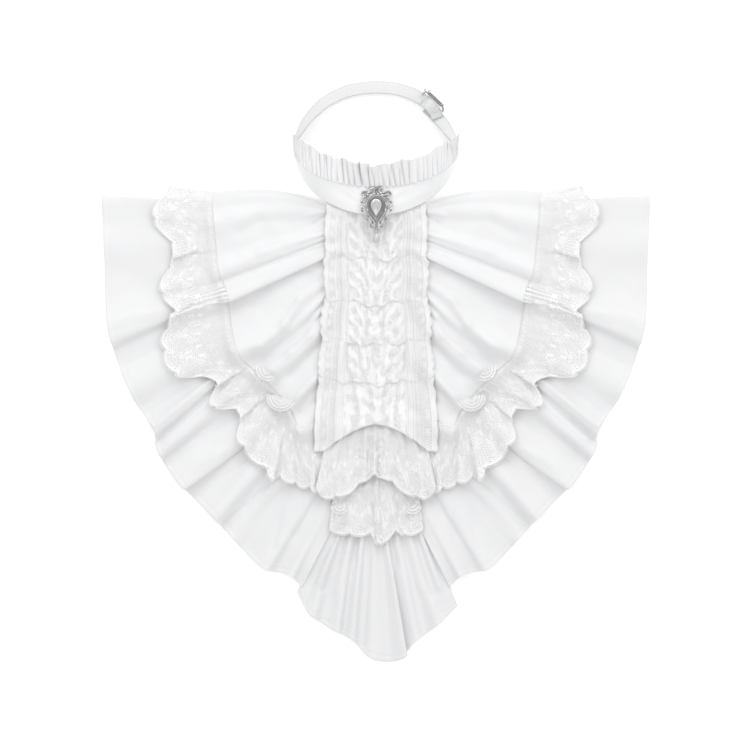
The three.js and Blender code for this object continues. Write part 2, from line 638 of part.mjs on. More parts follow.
// Scrolls on the right: their middle, how wide they start and end, and where they start and end
// (degrees, anticlockwise from the right).
const SCROLLS = [
  { x: 3.4, y: 14.2, from: 2.5, to: 1, start: 230, end: -20 },
  { x: 9.3, y: 10.2, from: 2.9, to: 1.1, start: 215, end: -40 },
  { x: 10.6, y: 3.2, from: 2.3, to: 1, start: 240, end: 20 },
  { x: 9.6, y: -1.8, from: 2.4, to: 1, start: 150, end: -90 },
  { x: 5.6, y: -8.2, from: 2, to: 1, start: 130, end: -110 },
  { x: 2.9, y: -13.4, from: 1.8, to: 1, start: 100, end: -160 },
];
const EYE = { y: -15.6, z: 1.2, radius: 0.95, wire: 0.3 };
function broochFrame() {
  const right = KITE.map(([x, y]) => new THREE.Vector2(x, y));
  const left = right.slice(1, -1).reverse().map((p) => new THREE.Vector2(-p.x, p.y));
  const kite = [...right, ...left];
  const bezelHole = teardrop(PEARL.halfWidth + GAP, PEARL.halfHeight + GAP, 20);
  const bezelRim = teardrop(PEARL.halfWidth + BEZEL.rim, PEARL.halfHeight + BEZEL.rim, 20);
  const plate = ringPlate(kite, bezelHole, BROOCH.plate);
  const bezel = ringPlate(bezelRim, bezelHole, BEZEL.height);
  const scrolls = SCROLLS.flatMap(({ x, y, from, to, start, end }) =>
    [1, -1].map((side) => {
      const points = even(6).map((t) => {
        const turn = THREE.MathUtils.degToRad(mix(start, end, t));
        const radius = mix(from, to, t);
        return new THREE.Vector3(
          side * (x + radius * Math.cos(turn)),
          y + radius * Math.sin(turn),
          BROOCH.wire + 0.25,
        );
      });
      return wire(points, BROOCH.wire, 7);
    }),
  );
  const foot = new THREE.SphereGeometry(1.4, 8, 5).translate(0, -13.3, 1.2);
  const crown = new THREE.ConeGeometry(1.2, 4, 6).translate(0, 13.4, 0.9);
  const eye = new THREE.TorusGeometry(EYE.radius, EYE.wire, 5, 10).translate(0, EYE.y, EYE.z);
  return fused([plate, bezel, ...scrolls, foot, crown, eye]);
}
addToBrooch('brooch_frame', broochFrame(), silverFinish());

// The pearl is a drop turned about its long axis and flattened, held all round by the bezel.
function turnedDrop(halfWidth, halfHeight, around, rows) {
  const profile = even(rows, Math.PI, 0).map((t) => {
    const radius = (halfWidth / TEARDROP_WIDEST) * Math.sin(t) * Math.sin(t / 2);
    return new THREE.Vector2(t === Math.PI || t === 0 ? 0 : radius, -halfHeight * Math.cos(t));
  });
  return new THREE.LatheGeometry(profile, around);
}
const pearl = turnedDrop(PEARL.halfWidth, PEARL.halfHeight, 14, 8);
pearl.scale(1, 1, PEARL.thick / (2 * PEARL.halfWidth));
pearl.translate(PEARL.x, PEARL.y, PEARL.thick / 2 + 0.1);
addToBrooch('brooch_pearl', welded(pearl), pearlFinish());

// ---- drop pearl ---------------------------------------------------------------------------------
// It hangs from a link through the eye at the foot of the brooch, and swings about the wire of the link
// where that passes through the eye, square to the brooch's face.
const LINK = { radius: 1.1, wire: 0.25 };
const DROP = { halfWidth: 3.1, halfHeight: 4.1 };
const CAP = { top: 0.35, foot: 0.8, height: 0.5 };
const linkFoot = EYE.y - 2 * LINK.radius;
const link = new THREE.TorusGeometry(LINK.radius, LINK.wire, 5, 12).rotateY(Math.PI / 2);
link.translate(0, EYE.y - LINK.radius, EYE.z);
const cap = new THREE.CylinderGeometry(CAP.top, CAP.foot, CAP.height, 8);
cap.translate(0, linkFoot - CAP.height / 2, EYE.z);
addToBrooch('drop_link', fused([link, cap]), silverFinish());
const drop = turnedDrop(DROP.halfWidth, DROP.halfHeight, 12, 8).rotateZ(Math.PI);
drop.translate(0, linkFoot - CAP.height - GAP - DROP.halfHeight, EYE.z);
addToBrooch('drop_pearl', welded(drop), pearlFinish());

export default jabot;
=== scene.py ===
import math

import bmesh
import bpy
import numpy as np
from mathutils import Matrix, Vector
from mathutils.bvhtree import BVHTree


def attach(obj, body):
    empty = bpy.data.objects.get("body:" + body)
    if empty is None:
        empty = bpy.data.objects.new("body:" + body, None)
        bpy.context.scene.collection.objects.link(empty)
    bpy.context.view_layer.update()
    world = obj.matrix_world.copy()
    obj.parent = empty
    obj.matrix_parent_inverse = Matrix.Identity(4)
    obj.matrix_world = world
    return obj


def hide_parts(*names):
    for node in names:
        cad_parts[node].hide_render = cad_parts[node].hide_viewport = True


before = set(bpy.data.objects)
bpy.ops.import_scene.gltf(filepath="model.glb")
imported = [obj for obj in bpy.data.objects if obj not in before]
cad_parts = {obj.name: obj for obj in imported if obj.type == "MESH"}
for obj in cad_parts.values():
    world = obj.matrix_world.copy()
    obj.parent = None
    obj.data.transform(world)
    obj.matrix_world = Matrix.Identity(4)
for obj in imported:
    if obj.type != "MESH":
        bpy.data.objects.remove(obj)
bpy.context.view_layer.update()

MM = 0.001

# ---- table, camera and lamps --------------------------------------------------------------------
# The jabot lies face up on a white table, seen from straight above with the neck strap at the top.
# A broad lamp beyond the strap rakes over the folds. A dimmer one on the near side and a pale sky
# fill the hollows, and two small windows give the satin and the metal their highlights.
VIEW = {"x": -0.76, "y": -2.66, "height": 4000, "across": 570}  # mm
camera = bpy.data.objects.new("camera", bpy.data.cameras.new("camera"))
bpy.context.scene.collection.objects.link(camera)
camera.location = (VIEW["x"] * MM, VIEW["y"] * MM, VIEW["height"] * MM)
camera.data.lens = camera.data.sensor_width * VIEW["height"] / VIEW["across"]
camera.data.clip_end = 20
bpy.context.scene.camera = camera
bpy.context.scene.view_settings.view_transform = "Standard"

LAMPS = (  # name, place (m), size (m), power (W)
    ("far_lamp", (0, 1.15, 0.75), (1.5, 0.5), 4.4),
    ("near_lamp", (0, -1.1, 1.3), (1.6, 0.6), 2.9),
    ("left_window", (-0.55, 0.6, 0.85), (0.28, 0.28), 1.1),
    ("right_window", (0.48, 0.64, 0.85), (0.26, 0.26), 0.95),
)
for name, place, size, power in LAMPS:
    lamp = bpy.data.objects.new(name, bpy.data.lights.new(name, "AREA"))
    bpy.context.scene.collection.objects.link(lamp)
    lamp.data.shape = "RECTANGLE"
    lamp.data.size, lamp.data.size_y = size
    lamp.data.energy = power
    lamp.location = place
    lamp.rotation_euler = (-Vector(place)).to_track_quat("-Z", "Y").to_euler()
    lamp.visible_camera = False


class Shade:
    """A value in a shader: arithmetic on it adds Math nodes, and node() adds any other node."""

    def __init__(self, tree, socket=None):
        self.tree, self.socket = tree, socket

    def node(self, kind, settings, values, out=0):
        made = self.tree.nodes.new(kind)
        for name, setting in settings.items():
            setattr(made, name, setting)
        for name, value in values.items():
            if isinstance(value, Shade):
                self.tree.links.new(value.socket, made.inputs[name])
            else:
                made.inputs[name].default_value = value
        return Shade(self.tree, made.outputs[out])

    def output(self, number):
        """Another output of the node that gives this value."""
        return Shade(self.tree, self.socket.node.outputs[number])

    def place(self):
        """Where a point lies in the object's frame (m)."""
        return self.node("ShaderNodeTexCoord", {}, {}, out=3)

    def cut(self):
        """Where a point lies on the flat cloth (m), across and along."""
        return self.node("ShaderNodeUVMap", {"uv_map": "cut"}, {})

    def math(self, operation, *values):
        return self.node("ShaderNodeMath", {"operation": operation}, dict(enumerate(values)))

    def __add__(self, other):
        return self.math("ADD", self, other)

    def __sub__(self, other):
        return self.math("SUBTRACT", self, other)

    def __rsub__(self, other):
        return self.math("SUBTRACT", other, self)

    def __mul__(self, other):
        return self.math("MULTIPLY", self, other)

    __radd__ = __add__
    __rmul__ = __mul__

    def limited(self):
        return self.math("MINIMUM", self.math("MAXIMUM", self, 0.0), 1.0)

    def noise(self, scale, place, detail=2.0):
        return self.node(
            "ShaderNodeTexNoise", {}, {"Scale": scale, "Vector": place, "Detail": detail}
        )

    def tint(self, dark, light):
        """A colour from dark, where the value is 0, to light, where it is 1."""
        return self.node(
            "ShaderNodeMix",
            {"data_type": "RGBA"},
            {0: self, 6: (*dark, 1), 7: (*light, 1)},
            out=2,
        )


def finish(name, surface):
    """A material whose Principled shader takes what surface(shade) says."""
    material = bpy.data.materials.new(name)
    material.use_nodes = True
    tree = material.node_tree
    tree.nodes.clear()
    shade = Shade(tree)
    values = surface(shade)
    relief = values.pop("relief", None)
    if relief:
        height, depth = relief
        values["Normal"] = shade.node(
            "ShaderNodeBump", {}, {"Height": height, "Distance": depth, "Strength": 1.0}
        )
    skin = shade.node("ShaderNodeBsdfPrincipled", {}, values)
    output = tree.nodes.new("ShaderNodeOutputMaterial")
    tree.links.new(skin.socket, output.inputs["Surface"])
    return material


# The sky is a white tent with paler and darker panels, which give metal and pearls their edges.
SKY = {"mean": 0.835, "panels": 0.35}
sky = bpy.data.worlds.new("sky")
bpy.context.scene.world = sky
sky.use_nodes = True
tent = Shade(sky.node_tree)
direction = tent.node("ShaderNodeTexCoord", {}, {})
sideways = tent.node("ShaderNodeSeparateXYZ", {}, {"Vector": direction})
lengthways = sideways.output(1)
panels = tent.math("SINE", sideways * 7.0) * tent.math("COSINE", lengthways * 6.0)
backdrop = sky.node_tree.nodes["Background"]
backdrop.inputs["Strength"].default_value = 1
sky.node_tree.links.new(
    (panels * SKY["panels"] + SKY["mean"]).socket, backdrop.inputs["Color"]
)


def table_surface(shade):
    cloud = shade.noise(6.0, shade.place())
    return {
        "Base Color": cloud.tint((0.93, 0.93, 0.93), (0.95, 0.95, 0.95)),
        "Roughness": 0.9,
        "Emission Color": (1, 1, 1, 1),
        "Emission Strength": 0.2,
    }


table_top = bmesh.new()
bmesh.ops.create_grid(table_top, x_segments=1, y_segments=1, size=3)
bmesh.ops.translate(table_top, verts=table_top.verts, vec=(0, 0, -0.2 * MM))
table_mesh = bpy.data.meshes.new("table_top")
table_top.to_mesh(table_mesh)
table_mesh.materials.append(finish("table white", table_surface))
table = bpy.data.objects.new("table_top", table_mesh)
bpy.context.scene.collection.objects.link(table)

# ---- centre stay --------------------------------------------------------------------------------
# A plain strip of doubled white satin down the middle of the back, which every layer is sewn to.
# Satin is made here: warp floats that run down the cloth, with a soft gloss and slight slubs.
SATIN_WALL = 0.6
SATIN_SLUBS = (1500.0, 90.0, 1.0)  # to a metre, across and along the cloth


def satin_surface(white):
    def surface(shade):
        cut = shade.cut()
        floats = shade.node("ShaderNodeMapping", {}, {"Vector": cut, "Scale": SATIN_SLUBS})
        slub = shade.noise(1.0, floats)
        cloud = shade.noise(22.0, cut)
        return {
            "Base Color": (slub * 0.4 + cloud * 0.6).tint(
                (white - 0.06, white - 0.055, white - 0.045), (white, white, white + 0.005)
            ),
            "Roughness": cloud * 0.14 + 0.34,
            "Specular IOR Level": 0.35,
            "Sheen Weight": 0.25,
            "Sheen Roughness": 0.4,
            "relief": (slub, 0.00006),
        }

    return surface


satin = finish("white satin", satin_surface(0.82))


def cloth(name, across, along, place, cut, wall, material, side=1, offset=1):
    """A sheet of cloth cut to (width, length) mm; place(u, v) says where each point lies (mm)."""
    grid = bmesh.new()
    grid.loops.layers.uv.new("cut")
    bmesh.ops.create_grid(grid, x_segments=across, y_segments=along, size=0.5, calc_uvs=True)
    mesh = bpy.data.meshes.new(name)
    grid.to_mesh(mesh)
    grid.free()
    u, v = np.meshgrid(np.linspace(0, 1, across + 1), np.linspace(0, 1, along + 1))
    x, y, z = place(u, v)
    points = np.stack([side * x, y, z], axis=-1)
    mesh.vertices.foreach_set("co", (points * MM).ravel())
    layer = mesh.uv_layers["cut"].data
    uv = np.empty(2 * len(layer))
    layer.foreach_get("uv", uv)
    layer.foreach_set("uv", (uv.reshape(-1, 2) * np.array(cut) * MM).ravel())
    if outward_is_down(points):
        mesh.flip_normals()
    mesh.shade_smooth()
    mesh.materials.append(material)
    piece = bpy.data.objects.new(name, mesh)
    bpy.context.scene.collection.objects.link(piece)
    thick = piece.modifiers.new("wall", "SOLIDIFY")
    thick.thickness = wall * MM
    thick.offset = offset
    return piece, points


def outward_is_down(points):
    """Whether a sheet's faces look down on the whole, so that it has to be turned."""
    across = points[:-1, 1:] - points[:-1, :-1]
    along = points[1:, :-1] - points[:-1, :-1]
    return np.cross(across, along)[..., 2].sum() < 0


# What lies on the table so far, as heights (mm) on a grid of places. The rays that feel for it start
# above all the layers (m).
BED = {"step": 1.5, "half_width": 225, "half_length": 235, "above_all": 0.2}
bed_x = np.arange(-BED["half_width"], BED["half_width"] + 0.1, BED["step"])
bed_y = np.arange(-BED["half_length"], BED["half_length"] + 0.1, BED["step"])
bed = np.zeros((len(bed_y), len(bed_x)))


def lay_down(piece):
    """Adds a piece to what the next ones come down on."""
    bpy.context.view_layer.update()
    tree = BVHTree.FromObject(piece, bpy.context.evaluated_depsgraph_get())
    corners = np.array([corner[:] for corner in piece.bound_box]) / MM
    columns = np.flatnonzero((bed_x >= corners[:, 0].min()) & (bed_x <= corners[:, 0].max()))
    rows = np.flatnonzero((bed_y >= corners[:, 1].min()) & (bed_y <= corners[:, 1].max()))
    for j in rows:
        for i in columns:
            start = (bed_x[i] * MM, bed_y[j] * MM, BED["above_all"])
            hit = tree.ray_cast(start, (0, 0, -1))[0]
            if hit is not None:
                bed[j, i] = max(bed[j, i], hit.z / MM)


def shifted(heights, down, right):
    """The height map moved by whole cells, with its edges carried on."""
    reach = max(abs(down), abs(right))
    wide = np.pad(heights, reach, mode="edge")
    rows, columns = heights.shape
    return wide[reach + down : reach + down + rows, reach + right : reach + right + columns]


def bed_for(reach, soften):
    """How high a layer lies that spans hollows narrower than 2 × reach; it returns z(x, y)."""
    cells = int(round(reach / BED["step"]))
    spread = bed.copy()
    for down in range(-cells, cells + 1):
        for right in range(-cells, cells + 1):
            if math.hypot(down, right) <= cells + 0.2:
                spread = np.maximum(spread, shifted(bed, down, right))
    for _ in range(soften):
        spread = sum(shifted(spread, d, 0) for d in (-1, 0, 1)) / 3
        spread = sum(shifted(spread, 0, r) for r in (-1, 0, 1)) / 3

    def height(x, y):
        i = np.clip((x - bed_x[0]) / BED["step"], 0, len(bed_x) - 1.001)
        j = np.clip((y - bed_y[0]) / BED["step"], 0, len(bed_y) - 1.001)
        a, b = i.astype(int), j.astype(int)
        s, t = i - a, j - b
        low = spread[b, a] * (1 - s) + spread[b, a + 1] * s
        high = spread[b + 1, a] * (1 - s) + spread[b + 1, a + 1] * s
        return low * (1 - t) + high * t

    return height


def uneven(x, y, seed, length, height):
    """Soft uneven relief of about a length: a few crossing waves."""
    draw = np.random.default_rng(seed)
    relief = np.zeros_like(x)
    for _ in range(7):
        turn, phase = draw.uniform(0, 2 * math.pi, 2)
        wave = 2 * math.pi / (length * draw.uniform(0.6, 1.6))
        relief += np.sin(wave * (x * math.cos(turn) + y * math.sin(turn)) + phase)
    return relief * height / 3


STAY = {"half_width": 27, "top": 126, "bottom": -108}


def stay_place(u, v):
    x = (2 * u - 1) * STAY["half_width"]
    y = STAY["bottom"] + v * (STAY["top"] - STAY["bottom"])
    return x, y, 0.02 + 0 * x


stay, _ = cloth("centre_stay_cloth", 12, 40, stay_place, (54, 234), SATIN_WALL, satin)
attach(stay, "jabot")
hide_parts("centre_stay")
lay_down(stay)


# ---- tail ---------------------------------------------------------------------------------------
# The middle of the lower flounce, a fan of satin gathered where it hangs from the end of the stay.
# Its folds are made here as on every flounce: crests that fan out to the hem and lap to one side.
def smooth_line(values, w):
    """A smooth line through evenly spaced values, read at w."""
    last = len(values) - 1
    k = np.clip(np.floor(w).astype(int), 0, last - 1)
    t = w - k
    before, here, there, after = (values[np.clip(k + d, 0, last)] for d in (-1, 0, 1, 2))
    leave, arrive = (there - before) / 2, (after - here) / 2
    return (
        (2 * here - 2 * there + leave + arrive) * t**3
        + (3 * there - 3 * here - 2 * leave - arrive) * t**2
        + leave * t
        + here
    )


def fold_profile(rise, slope, w, level=0.14):
    """Height over the folds: down from a crest in a share of the way, level, and up to the next."""
    last = len(rise) - 1
    k = np.clip(np.floor(w).astype(int), 0, last - 1)
    t = w - k
    down = slope[k]
    up = down + level
    falling = rise[k] * (0.5 + 0.5 * np.cos(np.pi * np.minimum(t / down, 1)))
    climbing = rise[k + 1] * (0.5 - 0.5 * np.cos(np.pi * np.clip((t - up) / (1 - up), 0, 1)))
    return np.where(t < up, falling, climbing)


def toward_next(x, y):
    """The unit direction along the rows of a sheet, from each crest to the next one."""
    dx, dy = np.gradient(x, axis=1), np.gradient(y, axis=1)
    length = np.hypot(dx, dy) + 1e-9
    return dx / length, dy / length


def near_hem(v, share=0.9, rows=0.7):
    """Spends more rows of the grid near the hem, for its roll and its stitches."""
    return np.where(v < rows, v / rows * share, share + (v - rows) / (1 - rows) * (1 - share))


HEM = {"width": 3.2, "shoulder": 0.8, "rise": 0.25, "stitches": 3.6, "pull": 0.6}


def rolled_hem(v, length):
    """A narrow hem turned twice and stitched: thicker, with a groove where the stitches pull."""
    edge = (1 - v) * length
    roll = np.clip((HEM["width"] - edge) / HEM["shoulder"], 0, 1)
    groove = np.exp(-(((edge - HEM["stitches"]) / HEM["pull"]) ** 2))
    return HEM["rise"] * (roll - groove)


def creases(x, y, rows):
    """Soft ridges, or troughs where the height is below 0: x and y at both ends, width, height."""
    relief = 0 * x
    for x1, y1, x2, y2, width, height in rows:
        span = (x2 - x1) ** 2 + (y2 - y1) ** 2
        t = np.clip(((x - x1) * (x2 - x1) + (y - y1) * (y2 - y1)) / span, 0, 1)
        off = np.hypot(x - x1 - t * (x2 - x1), y - y1 - t * (y2 - y1))
        relief += height * np.exp(-((off / width) ** 2))
    return relief


TAIL_TOP_Y = -108.3
TAIL_FOLDS = np.array([  # top x, hem x, hem y, rise, slope, lap
    (-33, -60, -168, 0, 0.5, 0),
    (-26, -50, -184.5, 6, 0.45, 3),
    (-17, -31, -197, 5, 0.4, 2),
    (-9, -19, -203, 6, 0.35, 2),
    (-2, -3, -218, 4, 0.6, 0),
    (5, 17, -219, 8, 0.2, 7),
    (13, 30, -205, 5, 0.4, 2),
    (22, 46, -193, 6, 0.45, 2),
    (33, 62, -178, 0, 0.4, 0),
], float)
TAIL_CREASES = (
    (-27, -116, -33, -129, 2.4, -4),
    (-33, -129, -50, -160, 2.2, -3.4),
    (-27, -124, -43, -162, 2, 2.6),
    (-22, -118, -40, -164, 2.8, -4),
    (-17, -120, -30, -166, 3, 2),
    (-13.5, -118, -16, -146, 1.6, -2.2),
    (-4, -130, -11, -206, 3.2, -1.8),
    (9, -124, 15, -146, 2.4, -1.6),
    (22, -120, 34, -166, 3, 1.6),
    (28, -118, 42, -168, 2.8, -4),
    (33, -122, 48, -164, 2, 2.6),
    (35, -116, 40, -129, 2.4, -4),
    (40, -129, 55, -162, 2.2, -3.4),
)


def tail_place(u, v):
    v = near_hem(v)
    top, hem_x, hem_y, rise, slope, lap = TAIL_FOLDS.T
    w = u * (len(TAIL_FOLDS) - 1)
    x = smooth_line(top, w) * (1 - v) + smooth_line(hem_x, w) * v
    y = TAIL_TOP_Y * (1 - v) + smooth_line(hem_y, w) * v
    profile = fold_profile(rise, slope, w)
    next_x, next_y = toward_next(x, y)
    lean = smooth_line(lap, w) * profile / 8 * v
    gathers = 0.5 * np.sin(w * 9.7) * np.exp(-v * 6)
    z = profile * (0.3 + 0.7 * v) + gathers + 0.6
    x, y = x + lean * next_x, y + lean * next_y
    z = z + uneven(x, y, 3, 26, 0.35) + rolled_hem(v, 95) + creases(x, y, TAIL_CREASES)
    return x, y, np.maximum(z, 0.05)


tail, _ = cloth("tail_satin", 132, 44, tail_place, (190, 96), SATIN_WALL, satin)
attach(tail, "jabot")
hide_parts("tail_flounce")
lay_down(tail)

# ---- lower flounce ------------------------------------------------------------------------------
# The wide satin flounce under everything, one piece to each side, gathered into the edge of the stay
# and fanned out to a narrow hem that is turned twice and stitched.
LOWER_SEAM_X = -27.3
LOWER_FOLDS = np.array([  # seam y, hem x, hem y, rise, slope, bow, lap
    (126, -208.4, 133.2, 0, 0.4, 0, 0),
    (112, -206.5, 92, 2, 0.4, 0, 0),
    (96, -203, 31, 7, 0.3, 0, 8),
    (83, -186.5, -16, 5, 0.4, 0, 0),
    (68, -169.5, -43, 7, 0.45, 0, 2),
    (54, -166, -60, 7, 0.4, 0, 4),
    (24, -152, -82, 9, 0.3, -9, 8),
    (-8, -124.5, -109.5, 8, 0.5, 0, 2),
    (-33, -109.5, -126, 6, 0.4, 0, 2),
    (-58, -87, -148.5, 7, 0.4, 0, 4),
    (-84, -66, -154.5, 7, 0.45, 0, 2),
    (-107, -56, -164, 2, 0.4, 0, 0),
], float)

LOWER_CREASES = (
    (-60, 66, -202, 37, 2.2, 1.6),
    (-120, 42, -196, 10, 8, -2),
    (-90, 14, -172, -29, 5, -1.6),
    (-88, 24, -168, -41, 2, 2.2),
    (-84, 16, -160, -52, 2, 2),
    (-80, -18, -164, -65, 4, -1.3),
    (-62, -34, -152, -80, 1.9, 1.6),
    (-70, -36, -141, -93, 6, -3.2),
    (-86, -60, -118, -109, 6, 1.5),
    (-79, -84, -119, -117, 1.4, -0.9),
    (-56, -74, -105, -123, 4.5, -2.2),
    (-70, -92, -78, -134, 2.6, -1.2),
    (-55, -88, -58, -108, 1.8, -1),
    (-40, -92, -62, -124, 2.6, -1.4),
    (-27, -112, -57, -166, 4, -2.6),
    (-46, -36, -56, -43, 7, 4.5),
)


def flounce_plan(folds, seam_x, u, v):
    """Where a flounce lies on the table, and the profile and lap of its folds there."""
    seam, hem_x, hem_y, rise, slope, bow, lap = folds.T
    w = u * (len(folds) - 1)
    end_x, end_y = smooth_line(hem_x, w), smooth_line(hem_y, w)
    start_x, start_y = seam_x + 0 * w, smooth_line(seam, w)
    length = np.hypot(end_x - start_x, end_y - start_y)
    arc = smooth_line(bow, w) * np.sin(np.pi * v)
    x = start_x + (end_x - start_x) * v + arc * (end_y - start_y) / length
    y = start_y + (end_y - start_y) * v - arc * (end_x - start_x) / length
    return x, y, fold_profile(rise, slope, w), smooth_line(lap, w), length


def lower_place(u, v):
    v = near_hem(v, share=0.93)
    x, y, profile, lap, length = flounce_plan(LOWER_FOLDS, LOWER_SEAM_X, u, v)
    next_x, next_y = toward_next(x, y)
    lean = lap * profile / 8 * v**1.5
    gathers = 0.8 * np.sin(u * 190 + 2 * np.sin(u * 31)) * np.exp(-v * 9)
    flutter = 0.5 * np.sin(u * 83 + 1.5 * np.sin(u * 17)) * v**6
    z = lower_bed(x, y) + profile * (0.12 + 0.88 * v**2) + gathers + flutter + 1
    x, y = x + lean * next_x, y + lean * next_y
    z = z + uneven(x, y, 11, 34, 0.45) + rolled_hem(v, length) + creases(x, y, LOWER_CREASES)
    return x, y, np.maximum(z, 0.05)


HANDS = ((-1, "right"), (1, "left"))  # each half is shaped on the left (-X), and -1 mirrors it
lower_bed = bed_for(6, 3)
for side, hand in HANDS:
    piece, _ = cloth(
        f"lower_flounce_{hand}_satin", 220, 64, lower_place, (430, 150), SATIN_WALL, satin, side
    )
    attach(piece, "jabot")
    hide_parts(f"lower_flounce_{hand}")
    lay_down(piece)

# ---- upper flounce ------------------------------------------------------------------------------
# A shorter satin flounce on top of the lower one, one piece to each side. It is gathered hard at its
# top corner, where the collar is sewn over it, and its hem carries the lace edging.
UPPER_SEAM_X = -26
UPPER_FOLDS = np.array([  # seam y, hem x, hem y, rise, slope, bow, lap
    (122, -124, 136, 0, 0.4, 8, 0),
    (117, -123, 113, 3, 0.4, 4, 0),
    (108, -119, 76, 4.5, 0.5, 0, 0),
    (95, -113.5, 61, 9, 0.14, 0, 8),
    (74, -105, 16, 7, 0.4, -7, 2),
    (57, -86.5, -4, 6, 0.4, -6, 2),
    (18, -67, -25, 6, 0.35, 0, 3),
    (-22, -58, -45, 1, 0.4, 0, 0),
], float)

UPPER_CREASES = (
    (-38, 90, -116, 56, 1.3, 1.3),
    (-36, 107, -88, 91, 3.5, 1.7),
    (-88, 91, -112, 79, 4, 1),
    (-36, 116, -88, 115, 5, -1.7),
    (-88, 115, -104, 106, 5, -1.3),
    (-34, 72, -58, 54, 2.6, 1.8),
    (-58, 54, -70, 35, 2.8, 2),
    (-70, 35, -88, 19, 3, 1.8),
    (-88, 19, -104, 18, 3.4, 1.2),
    (-40, 62, -62, 38, 3.5, -1.4),
    (-64, 34, -86, 10, 4, -1.4),
    (-34, 53, -45, 42, 2.2, 1.5),
    (-45, 42, -51, 27, 2.2, 1.6),
    (-51, 27, -66, 14, 2.2, 1.6),
    (-66, 14, -80, 2, 2.4, 1.3),
    (-40, 22, -66, -4, 4, -1.6),
    (-42, -1, -59, -19, 2.6, 1.6),
    (-36, 124, -52, 118, 1.6, 1),
    (-36, 120, -48, 112, 1.3, -1.1),
    (-34, 116, -46, 107, 1.3, 1),
    (-43, -22, -57, -31, 4.5, -3),
)

COLLAR = {"half_width": 62, "depth": 50, "band": 22.4, "frill": 19, "seat": 5.4, "neck_y": 169}


def collar_foot(x):
    """Where the collar's lower edge runs on the table, a half ellipse."""
    across = np.clip(np.abs(x) / COLLAR["half_width"], 0, 1)
    return COLLAR["neck_y"] - COLLAR["depth"] * np.sqrt(1 - across**2)


def under_collar(x, y, z):
    """Layers are pressed flat where the collar is sewn on them, and rise again away from it."""
    away = np.maximum(0, collar_foot(x) - 1 - y)
    return np.where(np.abs(x) < COLLAR["half_width"], np.minimum(z, 4.4 + 0.9 * away), z)


def upper_place(u, v):
    v = near_hem(v, share=0.93)
    x, y, profile, lap, length = flounce_plan(UPPER_FOLDS, UPPER_SEAM_X, u, v)
    next_x, next_y = toward_next(x, y)
    lean = lap * profile / 8 * (0.3 + 0.7 * v)
    gathers = 0.9 * np.sin(u * 120 + 2 * np.sin(u * 23)) * np.exp(-v * 5)
    z = upper_bed(x, y) + profile * (0.35 + 0.65 * v) + gathers + 1.2
    x, y = x + lean * next_x, y + lean * next_y
    z = z + uneven(x, y, 23, 24, 0.35) + creases(x, y, UPPER_CREASES)
    return x, y, under_collar(x, y, np.maximum(z, 1))


upper_bed = bed_for(7, 5)
for side, hand in HANDS:
    piece, points = cloth(
        f"upper_flounce_{hand}_satin", 150, 56, upper_place, (250, 95), SATIN_WALL, satin, side
    )
    upper_hem = points[-1] * (side, 1, 1)
    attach(piece, "jabot")
    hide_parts(f"upper_flounce_{hand}")
    lay_down(piece)

# ---- lace edging --------------------------------------------------------------------------------
# A wide lace sewn to the hem of the upper flounce in broad lobes: fine net with flowers worked in it
# and a scalloped border of thick cord. The lace itself is made here, as it is for the cascade.
LACE = {"wall": 0.3, "width": 46, "mesh": 1.25, "scallop": 16.8, "round": 0.84}


def lace_surface(white):
    def surface(shade):
        cut = shade.cut()
        along = shade.node("ShaderNodeSeparateXYZ", {}, {"Vector": cut})
        down = along.output(1)
        turn = 2 * math.pi / (LACE["mesh"] * MM)
        ways = ((1.0, 0.0), (-0.5, 0.866), (-0.5, -0.866))
        first, second, third = (
            shade.math("COSINE", along * (turn * a) + down * (turn * b)) for a, b in ways
        )
        net = 1 - ((first + second + third - 1.0) * 2).limited()
        worked = shade.node("ShaderNodeAttribute", {"attribute_name": "worked"}, {}, out=2)
        thread = shade.noise(1600.0, cut)
        mottle = shade.noise(380.0, cut, 3.0)
        solid = shade.math("MAXIMUM", net, (worked * 3 - 0.8).limited())
        return {
            "Base Color": (thread * 0.3 + worked * 0.15 + mottle * 0.7).tint(
                (white - 0.125, white - 0.125, white - 0.12), (white, white, white)
            ),
            "Roughness": 0.8,
            "Alpha": solid,
            "Sheen Weight": 0.15,
            "relief": (thread * 0.3 + worked + mottle * 1.8, 0.0004),
        }

    return surface


def cord_surface(white):
    def surface(shade):
        twist = shade.noise(1800.0, shade.place())
        return {
            "Base Color": twist.tint(
                (white - 0.08, white - 0.08, white - 0.075), (white, white, white)
            ),
            "Roughness": 0.6,
            "Sheen Weight": 0.3,
            "relief": (twist, 0.0002),
        }

    return surface


EDGING_LACE = finish("lace net", lace_surface(0.97)), finish("lace cord", cord_surface(0.98))
SCALLOP_RADIUS = LACE["scallop"] * LACE["round"]


def scallop_edge(s):
    """How far down the lace reaches at s along it (mm): a row of round scallops."""
    pitch = LACE["scallop"]
    off = (s + pitch / 2) % pitch - pitch / 2
    return np.sqrt(SCALLOP_RADIUS**2 - off**2) - SCALLOP_RADIUS


def worked_share(s, t, width):
    """How solid the lace is worked at a place: 1 in the petals, leaves and border, 0 in the net."""
    pitch = LACE["scallop"]
    off = (s + pitch / 2) % pitch - pitch / 2
    down = t - (width - SCALLOP_RADIUS)
    out = np.hypot(off, down)
    border = np.exp(-(((out - SCALLOP_RADIUS + 1.0) / 1.3) ** 2)) * (down > -SCALLOP_RADIUS * 0.6)
    turn = np.arctan2(off, down)
    petals = (out < 4.2 * (0.62 + 0.38 * np.cos(5 * turn))) & (out > 1)
    leaf = ((np.abs(off) - 3.6) / 1.1) ** 2 + ((down + 9) / 2.4) ** 2 < 1
    return np.clip(border + petals + leaf, 0, 1)


